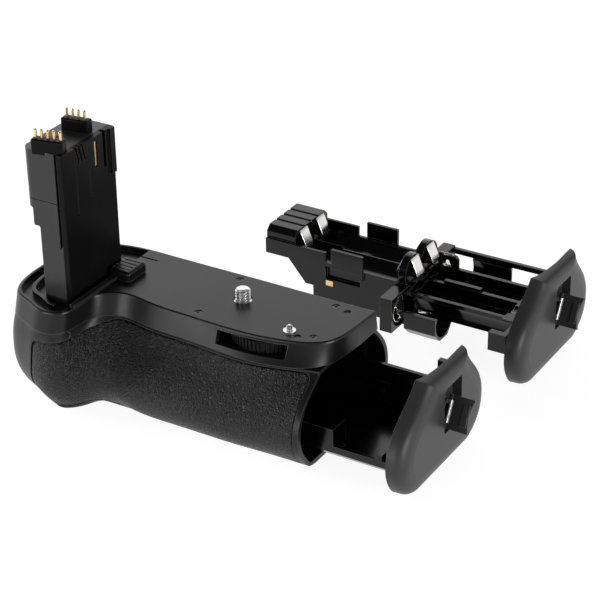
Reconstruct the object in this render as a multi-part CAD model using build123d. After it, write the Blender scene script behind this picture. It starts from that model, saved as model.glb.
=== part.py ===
from build123d import *
import math
import os

# A vertical battery grip for a mid-size reflex camera, with its pack tray drawn out
# and its spare AA tray standing behind it. All lengths are millimetres.
# The origin is the camera screw's axis at the top of the camera seat.
# X runs along the grip towards the tray mouth, Y into the depth, Z up.
# The sculpted front with the rubber skin faces minus Y.

# Overall sizes of the grip's plan
LEFT_REACH = 94.3
BULGE_DEPTH = 51.5
GROOVE_DEPTH = 36.0
FRONT_DEPTH = 42.0
MOUTH_FRONT = 38.6
BACK_DEPTH = 34.8
MOUTH_X = 49.0
COVER_END = 52.3
COVER_HEIGHT = 9.5
BODY_HEIGHT = 40.5
OVERRUN = 6.0

# One row per level, from the camera seat down to the base.
# Each row holds the level, then the shares of mouth, front, waist, neck, groove, bulge,
# left end and back sizes above, and how far the step beside the bulge leans.
PLAN_ROW_SHARES = (
    (0.00, 0.453, 0.560, 0.555, 0.517, 0.578, 0.948, 0.968, 0.532, 0.00),
    (0.00, 0.557, 0.667, 0.624, 0.581, 0.655, 0.978, 0.979, 0.575, 0.55),
    (0.12, 0.700, 0.726, 0.690, 0.648, 0.740, 0.990, 0.988, 0.747, 1.00),
    (0.28, 0.894, 0.833, 0.810, 0.750, 0.860, 1.000, 0.997, 0.905, 1.00),
    (0.47, 0.992, 0.964, 0.952, 0.869, 0.965, 0.996, 1.000, 1.000, 1.00),
    (0.64, 1.000, 1.000, 0.993, 0.917, 1.000, 0.981, 0.988, 1.000, 1.00),
    (0.78, 0.946, 0.948, 0.945, 0.900, 0.975, 0.942, 0.960, 0.943, 1.00),
    (0.90, 0.855, 0.829, 0.829, 0.805, 0.900, 0.874, 0.912, 0.819, 1.00),
    (1.00, 0.648, 0.619, 0.619, 0.619, 0.740, 0.738, 0.838, 0.575, 1.00),
)
# Where the plan's points stand along the left reach, and how far in from the bulge and back
FRONT_X_SHARE = 0.191
WAIST_X_SHARE = -0.106
NECK_X_SHARE = -0.350
GROOVE_X_SHARE = -0.498
STEP_X_SHARES = (-0.582, -0.594, -0.621)
STEP_LEAN_SHARES = (0.007, -0.017, -0.031)
STEP_DEPTH_SHARES = (0.22, 0.62, 0.93)
BULGE_X_SHARE = -0.721
SHOULDER_SHARES = ((-0.827, 0.934), (-0.942, 0.816), (-0.991, 0.612), (-1.000, 0.311))
TAIL_SHARES = ((-0.979, 0.00), (-0.905, 0.62), (-0.767, 0.93), (-0.530, 1.00), (0.00, 1.00))
# The cover's rounded right end: how far back from its end, and the share of the mouth size
COVER_END_SHARES = ((0.000, -0.20), (0.015, 0.25), (0.067, 0.70), (0.168, 0.98), (0.363, 1.20))

# Camera seat cover
SEAT_PLATE = 1.7
COVER_WALL = 2.2
COVER_EDGE = 0.9
EDGE_IN_SHARE = 0.25
EDGE_DOWN_SHARE = 0.33
HOLLOW_LEFT = 45.0
HOLLOW_RIGHT = 43.0
PILLAR_RADIUS = 3.0
SCREW_HEAD_RADIUS = 1.7
SCREW_HEAD_HEIGHT = 0.9
SCREW_ARM_SHARE = 0.6
SCREW_SLOT_SHARE = 0.12
SCREW_SHANK_RADIUS = 0.9
SCREW_SHANK_LENGTH = 6.0
SCREW_SINK = 0.3
SCREW_PLACES = ((-10.2, -18.0), (-10.5, 14.0), (36.3, 13.7), (41.0, -12.6))
DIMPLE_RADIUS = 1.6
DIMPLE_DEPTH = 0.5
DIMPLE_PLACES = ((42.8, 11.6), (35.4, -15.4))
DOOR_SLOT_LEFT = 68.4
DOOR_SLOT_RIGHT = 50.0
DOOR_SLOT_BACK = 10.6
DOOR_SLOT_WIDTH = 1.0
DOOR_SLOT_DEPTH = 0.8

# Recess round the foot of the tower, its raised ring and its rail
LOBE_RIM = 1.7
LOBE_RECESS = 2.6
LOBE_RIGHT = 58.4
RING_INSET = 6.2
RING_WALL = 1.5
RING_BACK = 6.0
RING_RIGHT = 65.0
RAIL_WIDTH = 1.1
RAIL_HEIGHT = 1.5
RAIL_GAP = 0.5
RAIL_SINK = 0.4

# Striped lock block to the right of the tower
LOCK_BLOCK_LEFT = 60.0
LOCK_BLOCK_RIGHT = 49.0
LOCK_BLOCK_FRONT = 11.5
LOCK_BLOCK_BACK = 1.5
LOCK_BLOCK_HEIGHT = 4.2
LOCK_BLOCK_ROUND = 1.4
LOCK_STRIPES = 4
LOCK_STRIPE_WIDTH = 0.7
LOCK_STRIPE_HEIGHT = 0.4

# Battery-shaped tower
TOWER_RIGHT = 60.5
TOWER_FRONT = 36.0
TOWER_BACK = 0.6
TOWER_TOP = 65.0
TOWER_LEFTS = (80.5, 79.0, 77.0, 74.0)
TOWER_STEPS = (50.5, 39.0, 31.0)
TOWER_STEP_ROUND = 0.7
TOWER_CORNER = 4.0
TOWER_ARRIS = 0.5
TOWER_SIDE_PLATE = 2.6
TOWER_SEAM_WIDTH = 1.3
TOWER_SEAM_DEPTH = 2.2
TOWER_SEAM_BOTTOM = 22.0
TOWER_SEAM_STOP = 2.4
TOWER_BAND_LEVEL = 43.0
TOWER_BAND_WIDTH = 0.5
TOWER_LINE_WIDTH = 0.4
TOWER_LINE_DEPTH = 0.4
TOWER_LINES = ((-27.0, 36.0), (-18.0, 40.0))
VENT_COUNT = 3
VENT_WIDTH = 1.0
VENT_PITCH = 2.1
VENT_LENGTH = 7.5
VENT_DEPTH = 1.6
VENT_FRONT = -26.5
VENT_LEAN = 14.0
STRIP_WIDTH = 2.2
STRIP_HEIGHT = 11.5
STRIP_THICK = 0.6
STRIP_Y = -13.0
STRIP_TOP_DROP = 2.0
KEY_SLOT_WIDTH = 2.0
KEY_SLOT_HEIGHT = 16.0
KEY_SLOT_DEPTH = 3.0
KEY_SLOT_Y = -7.4
TOWER_EAR = 1.0
TOWER_EAR_WIDTH = 3.0
TOWER_EAR_HEIGHT = 20.0
TOWER_POST_RADIUS = 1.5
TOWER_POST_HEIGHT = 2.2
TOWER_POST_PLACE = (-72.5, -23.5)

# Contact blocks on the tower and their spring pins
FRONT_BLOCK_PLACE = (-68.2, -33.6)
FRONT_BLOCK_TURN = 12.0
FRONT_BLOCK_LENGTH = 14.0
FRONT_PIN_COUNT = 5
REAR_BLOCK_PLACE = (-71.0, -11.2)
REAR_BLOCK_TURN = 8.0
REAR_BLOCK_LENGTH = 12.5
REAR_PIN_COUNT = 4
BLOCK_DEPTH = 4.6
BLOCK_HEIGHT = 5.2
BLOCK_ROUND = 0.8
BLOCK_SHOULDER = 1.2
PIN_PITCH = 2.7
PIN_RADIUS = 0.62
PIN_TIP_RADIUS = 0.3
PIN_STAND = 4.0
PIN_BELOW = 3.2
PIN_GAP = 0.06
PIN_TRAVEL = 1.2

# Locating pin beside the camera screw
LOCATING_PLACE = (30.6, -13.6)
LOCATING_FLANGE_RADIUS = 2.65
LOCATING_FLANGE = 0.7
LOCATING_SINK = 0.3
LOCATING_RADIUS = 1.25
LOCATING_STAND = 3.0
LOCATING_SHANK = 1.5

# Camera screw and the thumbwheel that turns it through two gears
CAMERA_SCREW_RADIUS = 3.175
CAMERA_SCREW_STAND = 6.0
CAMERA_SCREW_TIP = 0.6
SHOULDER_RADIUS = 4.0
SHOULDER_DROP = 0.3
SHAFT_GAP = 0.06
JOURNAL_RADIUS = 2.0
JOURNAL_LENGTH = 2.0
WHEEL_X = 19.0
WHEEL_Y = -8.5
WHEEL_RADIUS = 16.5
WHEEL_TOP_GAP = 0.4
WHEEL_THICK = 4.4
WHEEL_KNURLS = 56
WHEEL_KNURL_DEPTH = 0.6
WHEEL_KNURL_SHARES = (0.36, 0.64)
WHEEL_SLOT_LEFT = 3.0
WHEEL_SLOT_RIGHT = 34.5
WHEEL_SLOT_GAP = 0.5
WHEEL_SLOT_BACK = 15.0
WHEEL_WEB = 2.0
WHEEL_RIM = 3.0
GEAR_THICK = 2.2
GEAR_MODULE = 1.3
WHEEL_TEETH = 20
SCREW_TEETH = 12
GEAR_ADDENDUM = 0.85
GEAR_DEDENDUM = 1.1
GEAR_TIP_SHARE = 0.20
GEAR_ROOT_SHARE = 0.60
GEAR_STAGGER = 0.2

# Tray bay inside the grip
BAY_LEFT = 74.0
BAY_FRONT = 27.0
BAY_BACK = 22.5
WIDE_LEFT = 17.0
WIDE_FRONT = 31.0
WIDE_BACK = 30.5
WIDE_BEVEL = 11.5
WIDE_FLOOR_BEVEL = 4.5
BAY_ROOF = 3.0
BAY_FLOOR = 5.0
BAY_TOP_BEVEL = 7.5
BAY_FLOOR_BEVEL = 3.0
MOUTH_WALL = 2.2
MOUTH_DEPTH = 9.0
MOUTH_ROOF = 1.4
SLIDE_GAP = 0.4
GUIDE_WIDTH = 1.6
GUIDE_HEIGHT = 1.2

# Rubber skin and end panel
SKIN = 0.9
SKIN_TOP_DROP = 0.8
SKIN_RIGHT = 46.6
SKIN_BULGE_DROP = 3.6
SKIN_BULGE_RIGHT = 58.0
SKIN_LEFT_TOP = 71.5
SKIN_LEFT_BOTTOM = 80.0
SKIN_CORNER = 4.0
SKIN_BACK = 10.0
SKIN_UNDER = 2.4
PANEL_DROP = 19.0
PANEL_SEAM = 0.25
PANEL_THICK = 1.6
PANEL_BACK = 14.0

# Base: tripod socket, bosses and screws
SOCKET_RADIUS = 8.5
SOCKET_DEPTH = 4.7
SOCKET_BORE = 3.175
BASE_SCREW_PLACES = ((-62.0, -28.0), (-62.0, 12.0), (34.0, -22.0), (34.0, 12.0))
BASE_SCREW_LENGTH = 3.4

# Shutter button, its ring and the dial, on the left end
BUTTON_Y = -22.0
BUTTON_Z = -19.2
BUTTON_RADIUS = 5.0
BUTTON_TRAVEL = 1.0
BUTTON_STAND = 2.6
BUTTON_THICK = 4.4
BUTTON_GAP = 0.3
BEZEL_RADIUS = 7.4
BEZEL_STAND = 1.2
BEZEL_DEPTH = 3.0
BEZEL_ROUND = 0.5
END_FACE_X = 94.0
DIAL_Y = -3.5
DIAL_Z = -19.2
DIAL_RADIUS = 6.2
DIAL_THICK = 7.0
DIAL_KNURLS = 24
DIAL_KNURL_DEPTH = 0.45
DIAL_KNURL_SHARES = (0.35, 0.65)
DIAL_STAND = 1.6
DIAL_GAP = 0.4
DIAL_AXLE_RADIUS = 1.2
DIAL_AXLE_OVERRUN = 2.0
DIAL_FACE_X = 92.6

# Control pad on the back with three buttons and the power switch
PAD_LEFT = 66.0
PAD_RIGHT = 18.0
PAD_TOP = 18.0
PAD_BOTTOM = 38.0
PAD_DEPTH = 7.0
PAD_FACE = 36.4
PAD_ROUND = 3.5
KEY_RADIUS = 3.3
KEY_PITCH = 11.0
KEY_FIRST_X = -59.0
KEY_Z = -25.5
KEY_STAND = 1.5
KEY_TRAVEL = 0.8
KEY_THICK = 3.6
KEY_GAP = 0.3
SWITCH_X = -26.0
SWITCH_Z = -29.0
SWITCH_RADIUS = 4.6
SWITCH_THICK = 2.2
SWITCH_TAB = 8.4
SWITCH_TAB_WIDTH = 2.6
SWITCH_AXLE_RADIUS = 1.5
SWITCH_AXLE_DEPTH = 3.0
SWITCH_GAP = 0.3
SWITCH_FIT = 0.05

# Pack tray, measured with the tray pushed home
DRAW_OUT = 39.0
TRAY_LEFT = 72.5
TRAY_WALL = 1.8
TRAY_FLOOR = 1.6
TRAY_FRONT_RISE = 13.6
TRAY_LOW_RISE = 6.0
TRAY_BACK_RISE = 19.0
TRAY_STEP_X = 19.0
TRAY_LOW_END = 38.5
TRAY_POST = 2.6
TRAY_POST_RISE = 8.5
TRAY_RETURN = 10.0
TRAY_SHELF_WIDTH = 5.0
TRAY_SHELF_RISE = 10.6
PACK_LENGTH = 56.8
TRAY_DIVIDER_RISE = 14.0
TRAY_SEAM_WIDTH = 0.6
SLOPE_LEFT = 33.0
SLOPE_TOP_RISE = 10.8
SLOPE_RUN = 19.0
SLOPE_THICK = 1.8
SLOPE_RIBS = 4
SLOPE_RIB = 0.5
LATCH_HOOK_WIDTH = 3.0
TRAY_STRIP_COUNT = 4
TRAY_STRIP_PITCH = 6.0
TRAY_STRIP_WIDTH = 2.4
TRAY_STRIP_HEIGHT = 9.0
TRAY_STRIP_THICK = 0.5

# End cap shared by both trays
CAP_GAP = 0.3
CAP_THICK = 8.0
CAP_TOP = 4.8
CAP_TOP_FRONT = 15.0
CAP_TOP_BACK = 18.5
CAP_BACK = 33.0
CAP_LEDGE_GAP = 0.3
CAP_WALL = 2.4
CAP_HOLLOW = 2.2
CAP_EDGE_SHARES = ((0.00, 0.00), (0.36, 0.02), (0.66, 0.12), (0.86, 0.36), (0.96, 0.68), (1.00, 1.00))
CAP_ROUND = 8.0

# Flip-out latch in each end cap
POCKET_LEFT = 4.9
POCKET_RIGHT = 9.8
POCKET_TOP = 12.6
POCKET_BOTTOM = 33.0
POCKET_DEPTH = 4.3
POCKET_ROUND = 1.2
LATCH_TILT = 30.0
LATCH_Y = -2.2
LATCH_Z = -30.2
LATCH_SHAFT_RADIUS = 2.0
LATCH_SHAFT_GAP = 0.06
LATCH_PLATE = 1.4
LATCH_PLATE_BELOW = 0.55
LATCH_BACK_GAP = 0.3
LATCH_ARM_WIDTH = 3.2
HINGE_PIN_RADIUS = 0.9
HINGE_PIN_LENGTH = 13.8
HINGE_PIN_BELOW = 1.2
HINGE_FIT = 0.05
KNUCKLE_RADIUS = 1.3
KNUCKLE_LENGTH = 2.2
SADDLE_LENGTH = 6.0
SADDLE_WIDTH = 2.2
LEVER_REACH = 10.4
LEVER_THICK = 2.0
LEVER_ROOT_GAP = 0.35
LEVER_HOLLOW = 1.1
LEVER_PAD = 0.35
LEVER_PAD_MARGIN = 2.4
LEVER_PAD_REACH = 4.2
CAM_LENGTH = 6.5
CAM_WIDTH = 4.0
CAM_THICK = 1.6
CAM_GAP = 0.3

# Spare AA tray, standing beside the grip
AA_AHEAD = 3.0
AA_ASIDE = 98.0
CELL_RADIUS = 7.25
CELL_LENGTH = 50.5
CELL_GAP = 0.2
AA_MIDDLE_Y = 0.0
AA_UPPER_PITCH = 14.7
AA_LOWER_PITCH = 44.4
AA_UPPER_Z = 20.4
AA_LOWER_Z = 32.4
AA_BLOCK_LEFT = 82.5
AA_BLOCK_LENGTH = 15.0
AA_BLOCK_TOP = 12.6
AA_BLOCK_HALF = 14.5
AA_BLOCK_EDGE = 2.5
AA_BLOCK_RIDGES = 4
AA_BLOCK_RIDGE = 0.7
AA_WALL_Z = 18.2
AA_WALL_END = 51.0
AA_CROWN_Z = 23.0
AA_RAIL_Z = 26.8
AA_DECK_Z = 25.5
AA_SLOPE_START = 12.0
AA_SLOPE_RUN = 9.0
AA_SLOPE_DROP = 10.6
AA_FLAT_RUN = 4.0
AA_BOTTOM_Z = 43.6
AA_FOOT_END = 3.5
AA_PANEL_Z = 36.0
AA_BODY_HALF = 15.8
AA_MID_LEFT = 14.0
AA_MID_LENGTH = 3.6
AA_MID_HALF = 30.4
AA_ARCH_RADIUS = 8.0
AA_LOWER_X = 12.0
AA_BOX_LEFT = 15.0
AA_BOX_RIGHT = -9.0
AA_BOX_TOP_Z = 24.2
AA_BOX_LOW_Z = 40.6
AA_CHEEK_X = 37.6
AA_CHEEK_LOW_Z = 35.4
AA_END_X = 43.6
AA_POCKET_X = -6.4
AA_POCKET_Z = 32.0
AA_HOLLOW_Z = 34.0
AA_HOLLOW_WALL = 4.0
AA_SIDE_RAIL_TOP_Z = 25.0
AA_SIDE_RAIL_LOW_Z = 27.4
AA_WALL = 2.0
AA_FLAP_LENGTH = 16.0
AA_FLAP_START = 47.2
AA_FLAP_REAR_TOP = 15.7
AA_FLAP_FRONT_TOP = 15.0
AA_FLAP_LOW_Z = 27.0
AA_FLAP_WALL = 1.4
AA_TAB_LEFT = 0.8
AA_TAB_RIGHT = 20.0
AA_TAB_LOW_Z = 33.5
AA_CRADLE_LEFT = -3.0
AA_CRADLE_RIGHT = 12.4
AA_CRADLE = ((30.4, 28.5), (30.4, 36.2), (25.6, 40.8), (18.5, 40.8), (14.4, 36.5), (14.4, 28.5))
AA_SPINE_LEFT = 1.0
AA_SPINE_RIGHT = 19.0
AA_SPINE_FRONT = -0.2
AA_SPINE_BACK = 2.4
AA_SPINE_TOP_Z = 25.6
AA_SPINE_LOW_Z = 30.5
AA_NOTCH_LEFT = -51.0
AA_NOTCH_RIGHT = -33.0
AA_NOTCH_TOP_Z = 24.5
AA_NOTCH_LOW_Z = 31.0
AA_END_WALL = 2.2
CONTACT_THICK = 0.5
CONTACT_WIDTH = 6.4
CONTACT_HEIGHT = 9.5
CONTACT_BEND = 2.6
AA_STRIP_X = -50.5
AA_STRIP_Z = 31.4
AA_STRIP_LENGTH = 3.6
AA_STRIP_HEIGHT = 2.6

# Levels that the sizes above fix
BASE_Z = -COVER_HEIGHT - BODY_HEIGHT
BAY_TOP_Z = -COVER_HEIGHT - BAY_ROOF
BAY_FLOOR_Z = BASE_Z + BAY_FLOOR
TRAY_BOTTOM_Z = BAY_FLOOR_Z + SLIDE_GAP
TRAY_FRONT_Y = SLIDE_GAP - BAY_FRONT
TRAY_BACK_Y = BAY_BACK - SLIDE_GAP
CAP_RIM_X = MOUTH_X + CAP_GAP
CAP_FACE_X = CAP_RIM_X + CAP_THICK
PIN_AXIS_X = CAP_FACE_X - LEVER_THICK / 2
PLATE_FRONT_X = PIN_AXIS_X - KNUCKLE_RADIUS - LATCH_BACK_GAP
WHEEL_TOP_Z = -SEAT_PLATE - WHEEL_TOP_GAP
GEAR_TOP_Z = WHEEL_TOP_Z - WHEEL_THICK
GEAR_BOTTOM_Z = GEAR_TOP_Z - GEAR_THICK
TRAY_PLACE = Pos(DRAW_OUT, 0, 0)
AA_PLACE = Pos(DRAW_OUT + AA_AHEAD, AA_ASIDE, 0)


def save(shape, node):
    """Writes one node's STEP file."""
    export_step(shape, "parts/" + node + ".step")


def block(x_low, x_high, y_low, y_high, z_low, z_high):
    """A box between two corners."""
    middle = Pos((x_low + x_high) / 2, (y_low + y_high) / 2, (z_low + z_high) / 2)
    return middle * Box(x_high - x_low, y_high - y_low, z_high - z_low)


def rod_z(x, y, z_low, z_high, radius):
    """An upright round bar."""
    bar = Cylinder(radius, z_high - z_low, align=(Align.CENTER, Align.CENTER, Align.MIN))
    return Pos(x, y, z_low) * bar


def rod_x(x_low, x_high, y, z, radius):
    """A round bar along X."""
    bar = Cylinder(radius, x_high - x_low, align=(Align.CENTER, Align.CENTER, Align.MIN))
    return Pos(x_low, y, z) * Rot(0, 90, 0) * bar


def rod_y(x, y_low, y_high, z, radius):
    """A round bar along Y."""
    bar = Cylinder(radius, y_high - y_low, align=(Align.CENTER, Align.CENTER, Align.MIN))
    return Pos(x, y_low, z) * Rot(-90, 0, 0) * bar


def prism_x(outline, x_low, x_high):
    """A prism along X over an outline of Y and Z pairs."""
    face = make_face(Polyline(*outline, close=True))
    return extrude(Plane.YZ.offset(x_low) * face, amount=x_high - x_low)


def prism_y(outline, y_low, y_high):
    """A prism along Y over an outline of X and Z pairs."""
    face = make_face(Polyline(*outline, close=True))
    return extrude(Plane.XZ.offset(-y_high) * face, amount=y_high - y_low)


def prism_z(outline, z_low, z_high):
    """A prism along Z over an outline of X and Y pairs."""
    face = make_face(Polyline(*outline, close=True))
    return extrude(Plane.XY.offset(z_low) * face, amount=z_high - z_low)


def rounded(corners, radius):
    """A closed face over the corners, each turned with the same radius."""
    return make_face(FilletPolyline(*corners, radius=radius, close=True))


def inset(points, distance):
    """The same row of points moved to its right hand, square to its own line."""
    moved = []
    for k, (x, y) in enumerate(points):
        x_before, y_before = points[max(k - 1, 0)]
        x_after, y_after = points[min(k + 1, len(points) - 1)]
        run = math.hypot(x_after - x_before, y_after - y_before)
        across = (y_after - y_before) / run
        along = (x_after - x_before) / run
        moved.append((x + distance * across, y - distance * along))
    return moved


def row_level(row):
    """Height of a plan row: the first is the camera seat, the others share the body."""
    if row == 0:
        return 0
    return -COVER_HEIGHT - BODY_HEIGHT * PLAN_ROW_SHARES[row][0]


def lobe_points(row):
    """Plan points from the front right, round the bulge and left end, to the back."""
    shares = PLAN_ROW_SHARES[row]
    front, waist, neck = (FRONT_DEPTH * share for share in shares[2:5])
    groove = GROOVE_DEPTH * shares[5]
    bulge = BULGE_DEPTH * shares[6]
    left = LEFT_REACH * shares[7]
    back = BACK_DEPTH * shares[8]
    lean = shares[9]
    points = [
        (LEFT_REACH * FRONT_X_SHARE, -front),
        (LEFT_REACH * WAIST_X_SHARE, -waist),
        (LEFT_REACH * NECK_X_SHARE, -neck),
        (LEFT_REACH * GROOVE_X_SHARE, -groove),
    ]
    for x_share, lean_share, depth_share in zip(STEP_X_SHARES, STEP_LEAN_SHARES, STEP_DEPTH_SHARES):
        x = LEFT_REACH * (x_share + lean_share * lean)
        points.append((x, -groove - depth_share * (bulge - groove)))
    points.append((LEFT_REACH * BULGE_X_SHARE, -bulge))
    for x_share, depth_share in SHOULDER_SHARES:
        points.append((left * x_share, -bulge * depth_share))
    for x_share, back_share in TAIL_SHARES:
        points.append((left * x_share, back * back_share))
    return points


def grip_points(row):
    """Plan of the grip body, run on past the mouth so that it can be cut off square."""
    shares = PLAN_ROW_SHARES[row]
    mouth = MOUTH_FRONT * shares[1]
    back = BACK_DEPTH * shares[8]
    past = MOUTH_X + 4 * OVERRUN
    front_end = [(past, -mouth), (MOUTH_X, -mouth)]
    back_end = [(MOUTH_X, back), (past, back)]
    return front_end + lobe_points(row) + back_end


def cover_points(row, end=COVER_END):
    """Plan of the camera seat cover, with its rounded right end."""
    shares = PLAN_ROW_SHARES[row]
    mouth = MOUTH_FRONT * shares[1]
    back = BACK_DEPTH * shares[8]
    points = []
    for back_share, front_share in COVER_END_SHARES:
        points.append((end - back_share * COVER_END, -mouth * front_share))
    return points + lobe_points(row) + [(end, back)]


def section(points, z):
    """A flat face at one level, inside a smooth curve and one closing line."""
    curve = Spline(*[Vector(x, y, z) for x, y in points])
    return make_face([curve, Line(curve @ 1, curve @ 0)])


def grip_form(distance):
    """The grip body's outer form, moved in by a distance and cut square at the mouth."""
    rows = range(1, len(PLAN_ROW_SHARES))
    form = loft([section(inset(grip_points(row), distance), row_level(row)) for row in rows])
    width = LEFT_REACH + BULGE_DEPTH
    past = MOUTH_X + 5 * OVERRUN
    return form - block(MOUTH_X, past, -width, width, BASE_Z - OVERRUN, OVERRUN)


def cover_form(distance, z_top, z_bottom):
    """The cover's outer form, moved in by a distance, between two levels."""
    faces = [section(inset(cover_points(0), distance), z_top)]
    faces.append(section(inset(cover_points(1), distance), z_bottom))
    return loft(faces, ruled=True)


def sharp_cover():
    """The cover with its rounded top edge, before anything is cut."""
    faces = [section(inset(cover_points(0), COVER_EDGE), 0)]
    faces.append(section(inset(cover_points(0), COVER_EDGE * EDGE_IN_SHARE), -COVER_EDGE * EDGE_DOWN_SHARE))
    faces.append(section(cover_points(0), -COVER_EDGE))
    faces.append(section(cover_points(1), -COVER_HEIGHT))
    return loft(faces, ruled=True)


def lock_block():
    """The striped block that the camera's door latch rests against."""
    low = (-LOCK_BLOCK_LEFT, -LOCK_BLOCK_FRONT)
    high = (-LOCK_BLOCK_RIGHT, LOCK_BLOCK_BACK)
    solid = block(low[0], high[0], low[1], high[1], -SEAT_PLATE / 2, LOCK_BLOCK_HEIGHT)
    upper = solid.edges().group_by(Axis.Z)[-1] + solid.edges().filter_by(Axis.Z)
    solid = fillet(upper, LOCK_BLOCK_ROUND)
    pitch = (high[1] - low[1] - 2 * LOCK_BLOCK_ROUND) / LOCK_STRIPES
    for k in range(LOCK_STRIPES):
        y = low[1] + LOCK_BLOCK_ROUND + pitch * (k + 0.5)
        solid -= block(
            low[0] + LOCK_BLOCK_ROUND,
            high[0] - LOCK_BLOCK_ROUND,
            y - LOCK_STRIPE_WIDTH / 2,
            y + LOCK_STRIPE_WIDTH / 2,
            LOCK_BLOCK_HEIGHT - LOCK_STRIPE_HEIGHT,
            LOCK_BLOCK_HEIGHT + OVERRUN,
        )
    return solid


def lobe_recess():
    """Everything that the recess round the tower's foot takes out of the cover."""
    floor = section(inset(cover_points(0), LOBE_RIM), -LOBE_RECESS)
    recess = extrude(floor, amount=LOBE_RECESS + OVERRUN)
    return recess & block(-LEFT_REACH, -LOBE_RIGHT, -BULGE_DEPTH, BACK_DEPTH, -LOBE_RECESS, OVERRUN)


def lobe_ring():
    """The raised wall that curves round the front left of the tower's foot."""
    outer = extrude(section(inset(cover_points(0), RING_INSET), -LOBE_RECESS), amount=LOBE_RECESS)
    inner_points = inset(cover_points(0), RING_INSET + RING_WALL)
    inner = extrude(section(inner_points, -LOBE_RECESS), amount=LOBE_RECESS)
    kept = block(-LEFT_REACH, -RING_RIGHT, -BULGE_DEPTH, -RING_BACK, -LOBE_RECESS, 0)
    return (outer - inner) & kept


def screw_hole(x, y, z_face, length):
    """The counterbore and bore for one small screw that enters from above."""
    head = rod_z(x, y, z_face - SCREW_HEAD_HEIGHT - SCREW_SINK, z_face + OVERRUN, SCREW_HEAD_RADIUS)
    return head + rod_z(x, y, z_face - length, z_face, SCREW_SHANK_RADIUS)


def small_screw(x, y, z_face, length):
    """One small screw, its head just under the face, with a cross slot."""
    z_head = z_face - SCREW_SINK
    body = rod_z(x, y, z_head - SCREW_HEAD_HEIGHT, z_head, SCREW_HEAD_RADIUS)
    body += rod_z(x, y, z_face - length, z_head, SCREW_SHANK_RADIUS)
    arm = SCREW_HEAD_RADIUS * SCREW_ARM_SHARE
    slot = SCREW_HEAD_RADIUS * SCREW_SLOT_SHARE
    depth = SCREW_HEAD_HEIGHT / 2
    body -= block(x - arm, x + arm, y - slot, y + slot, z_head - depth, z_head + depth)
    return body - block(x - slot, x + slot, y - arm, y + arm, z_head - depth, z_head + depth)


def top_cover():
    """The cover that carries the camera: seat, skirt, recess and mechanism space."""
    cover = sharp_cover()
    hollow = cover_form(COVER_WALL, -SEAT_PLATE, -COVER_HEIGHT - SEAT_PLATE)
    cover -= hollow & block(
        -HOLLOW_LEFT, HOLLOW_RIGHT, -FRONT_DEPTH, BACK_DEPTH, -COVER_HEIGHT - OVERRUN, -SEAT_PLATE
    )
    for x, y in SCREW_PLACES:
        cover += rod_z(x, y, -COVER_HEIGHT, -SEAT_PLATE / 2, PILLAR_RADIUS)
        cover -= screw_hole(x, y, 0, SCREW_SHANK_LENGTH)
    for x, y in DIMPLE_PLACES:
        cover -= rod_z(x, y, -DIMPLE_DEPTH, OVERRUN, DIMPLE_RADIUS)
    cover -= lobe_recess()
    cover += lobe_ring()
    cover += lock_block()
    half = DOOR_SLOT_WIDTH / 2
    front = DOOR_SLOT_BACK - half
    back = DOOR_SLOT_BACK + half
    cover -= block(-DOOR_SLOT_LEFT, -DOOR_SLOT_RIGHT, front, back, -DOOR_SLOT_DEPTH, OVERRUN)
    slot_bottom = GEAR_TOP_Z - WHEEL_SLOT_GAP
    cover -= block(
        WHEEL_SLOT_LEFT, WHEEL_SLOT_RIGHT, -FRONT_DEPTH, -WHEEL_SLOT_BACK, slot_bottom, -SEAT_PLATE
    )
    cover -= rod_z(0, 0, -COVER_HEIGHT, OVERRUN, SHOULDER_RADIUS + SHAFT_GAP)
    x, y = LOCATING_PLACE
    cover -= rod_z(x, y, -LOCATING_SHANK, OVERRUN, LOCATING_RADIUS)
    cover -= rod_z(x, y, -LOCATING_SINK, OVERRUN, LOCATING_FLANGE_RADIUS + SHAFT_GAP)
    cover -= foot_rail(SHAFT_GAP)
    cover -= rod_z(WHEEL_X, WHEEL_Y, -COVER_HEIGHT, -SEAT_PLATE / 2, JOURNAL_RADIUS)
    return cover


def seat_screws():
    """The four small screws in the camera seat."""
    return [small_screw(x, y, 0, SCREW_SHANK_LENGTH) for x, y in SCREW_PLACES]


def tower_plan():
    """The tower's plan at its top, with its rounded front left corner."""
    left = -TOWER_LEFTS[0]
    right = -TOWER_RIGHT
    corners = [(left, -TOWER_FRONT), (right, -TOWER_FRONT), (right, -TOWER_BACK), (left, -TOWER_BACK)]
    radii = [TOWER_CORNER, TOWER_ARRIS, TOWER_ARRIS, TOWER_CORNER / 2]
    return make_face(FilletPolyline(*corners, radius=radii, close=True))


def tower_form():
    """The tower's outside, stepping in down its left side."""
    foot = -LOBE_RECESS
    column = extrude(Plane.XY.offset(foot) * tower_plan(), amount=TOWER_TOP - foot)
    above_top = TOWER_TOP + OVERRUN
    corners = [(OVERRUN, foot - OVERRUN), (OVERRUN, above_top), (-TOWER_LEFTS[0], above_top)]
    for step, above, below in zip(TOWER_STEPS, TOWER_LEFTS, TOWER_LEFTS[1:]):
        corners += [(-above, step), (-below, step)]
    corners.append((-TOWER_LEFTS[-1], foot - OVERRUN))
    profile = Plane.XZ * rounded(corners, TOWER_STEP_ROUND)
    return column & extrude(profile, amount=TOWER_FRONT + OVERRUN)


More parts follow.
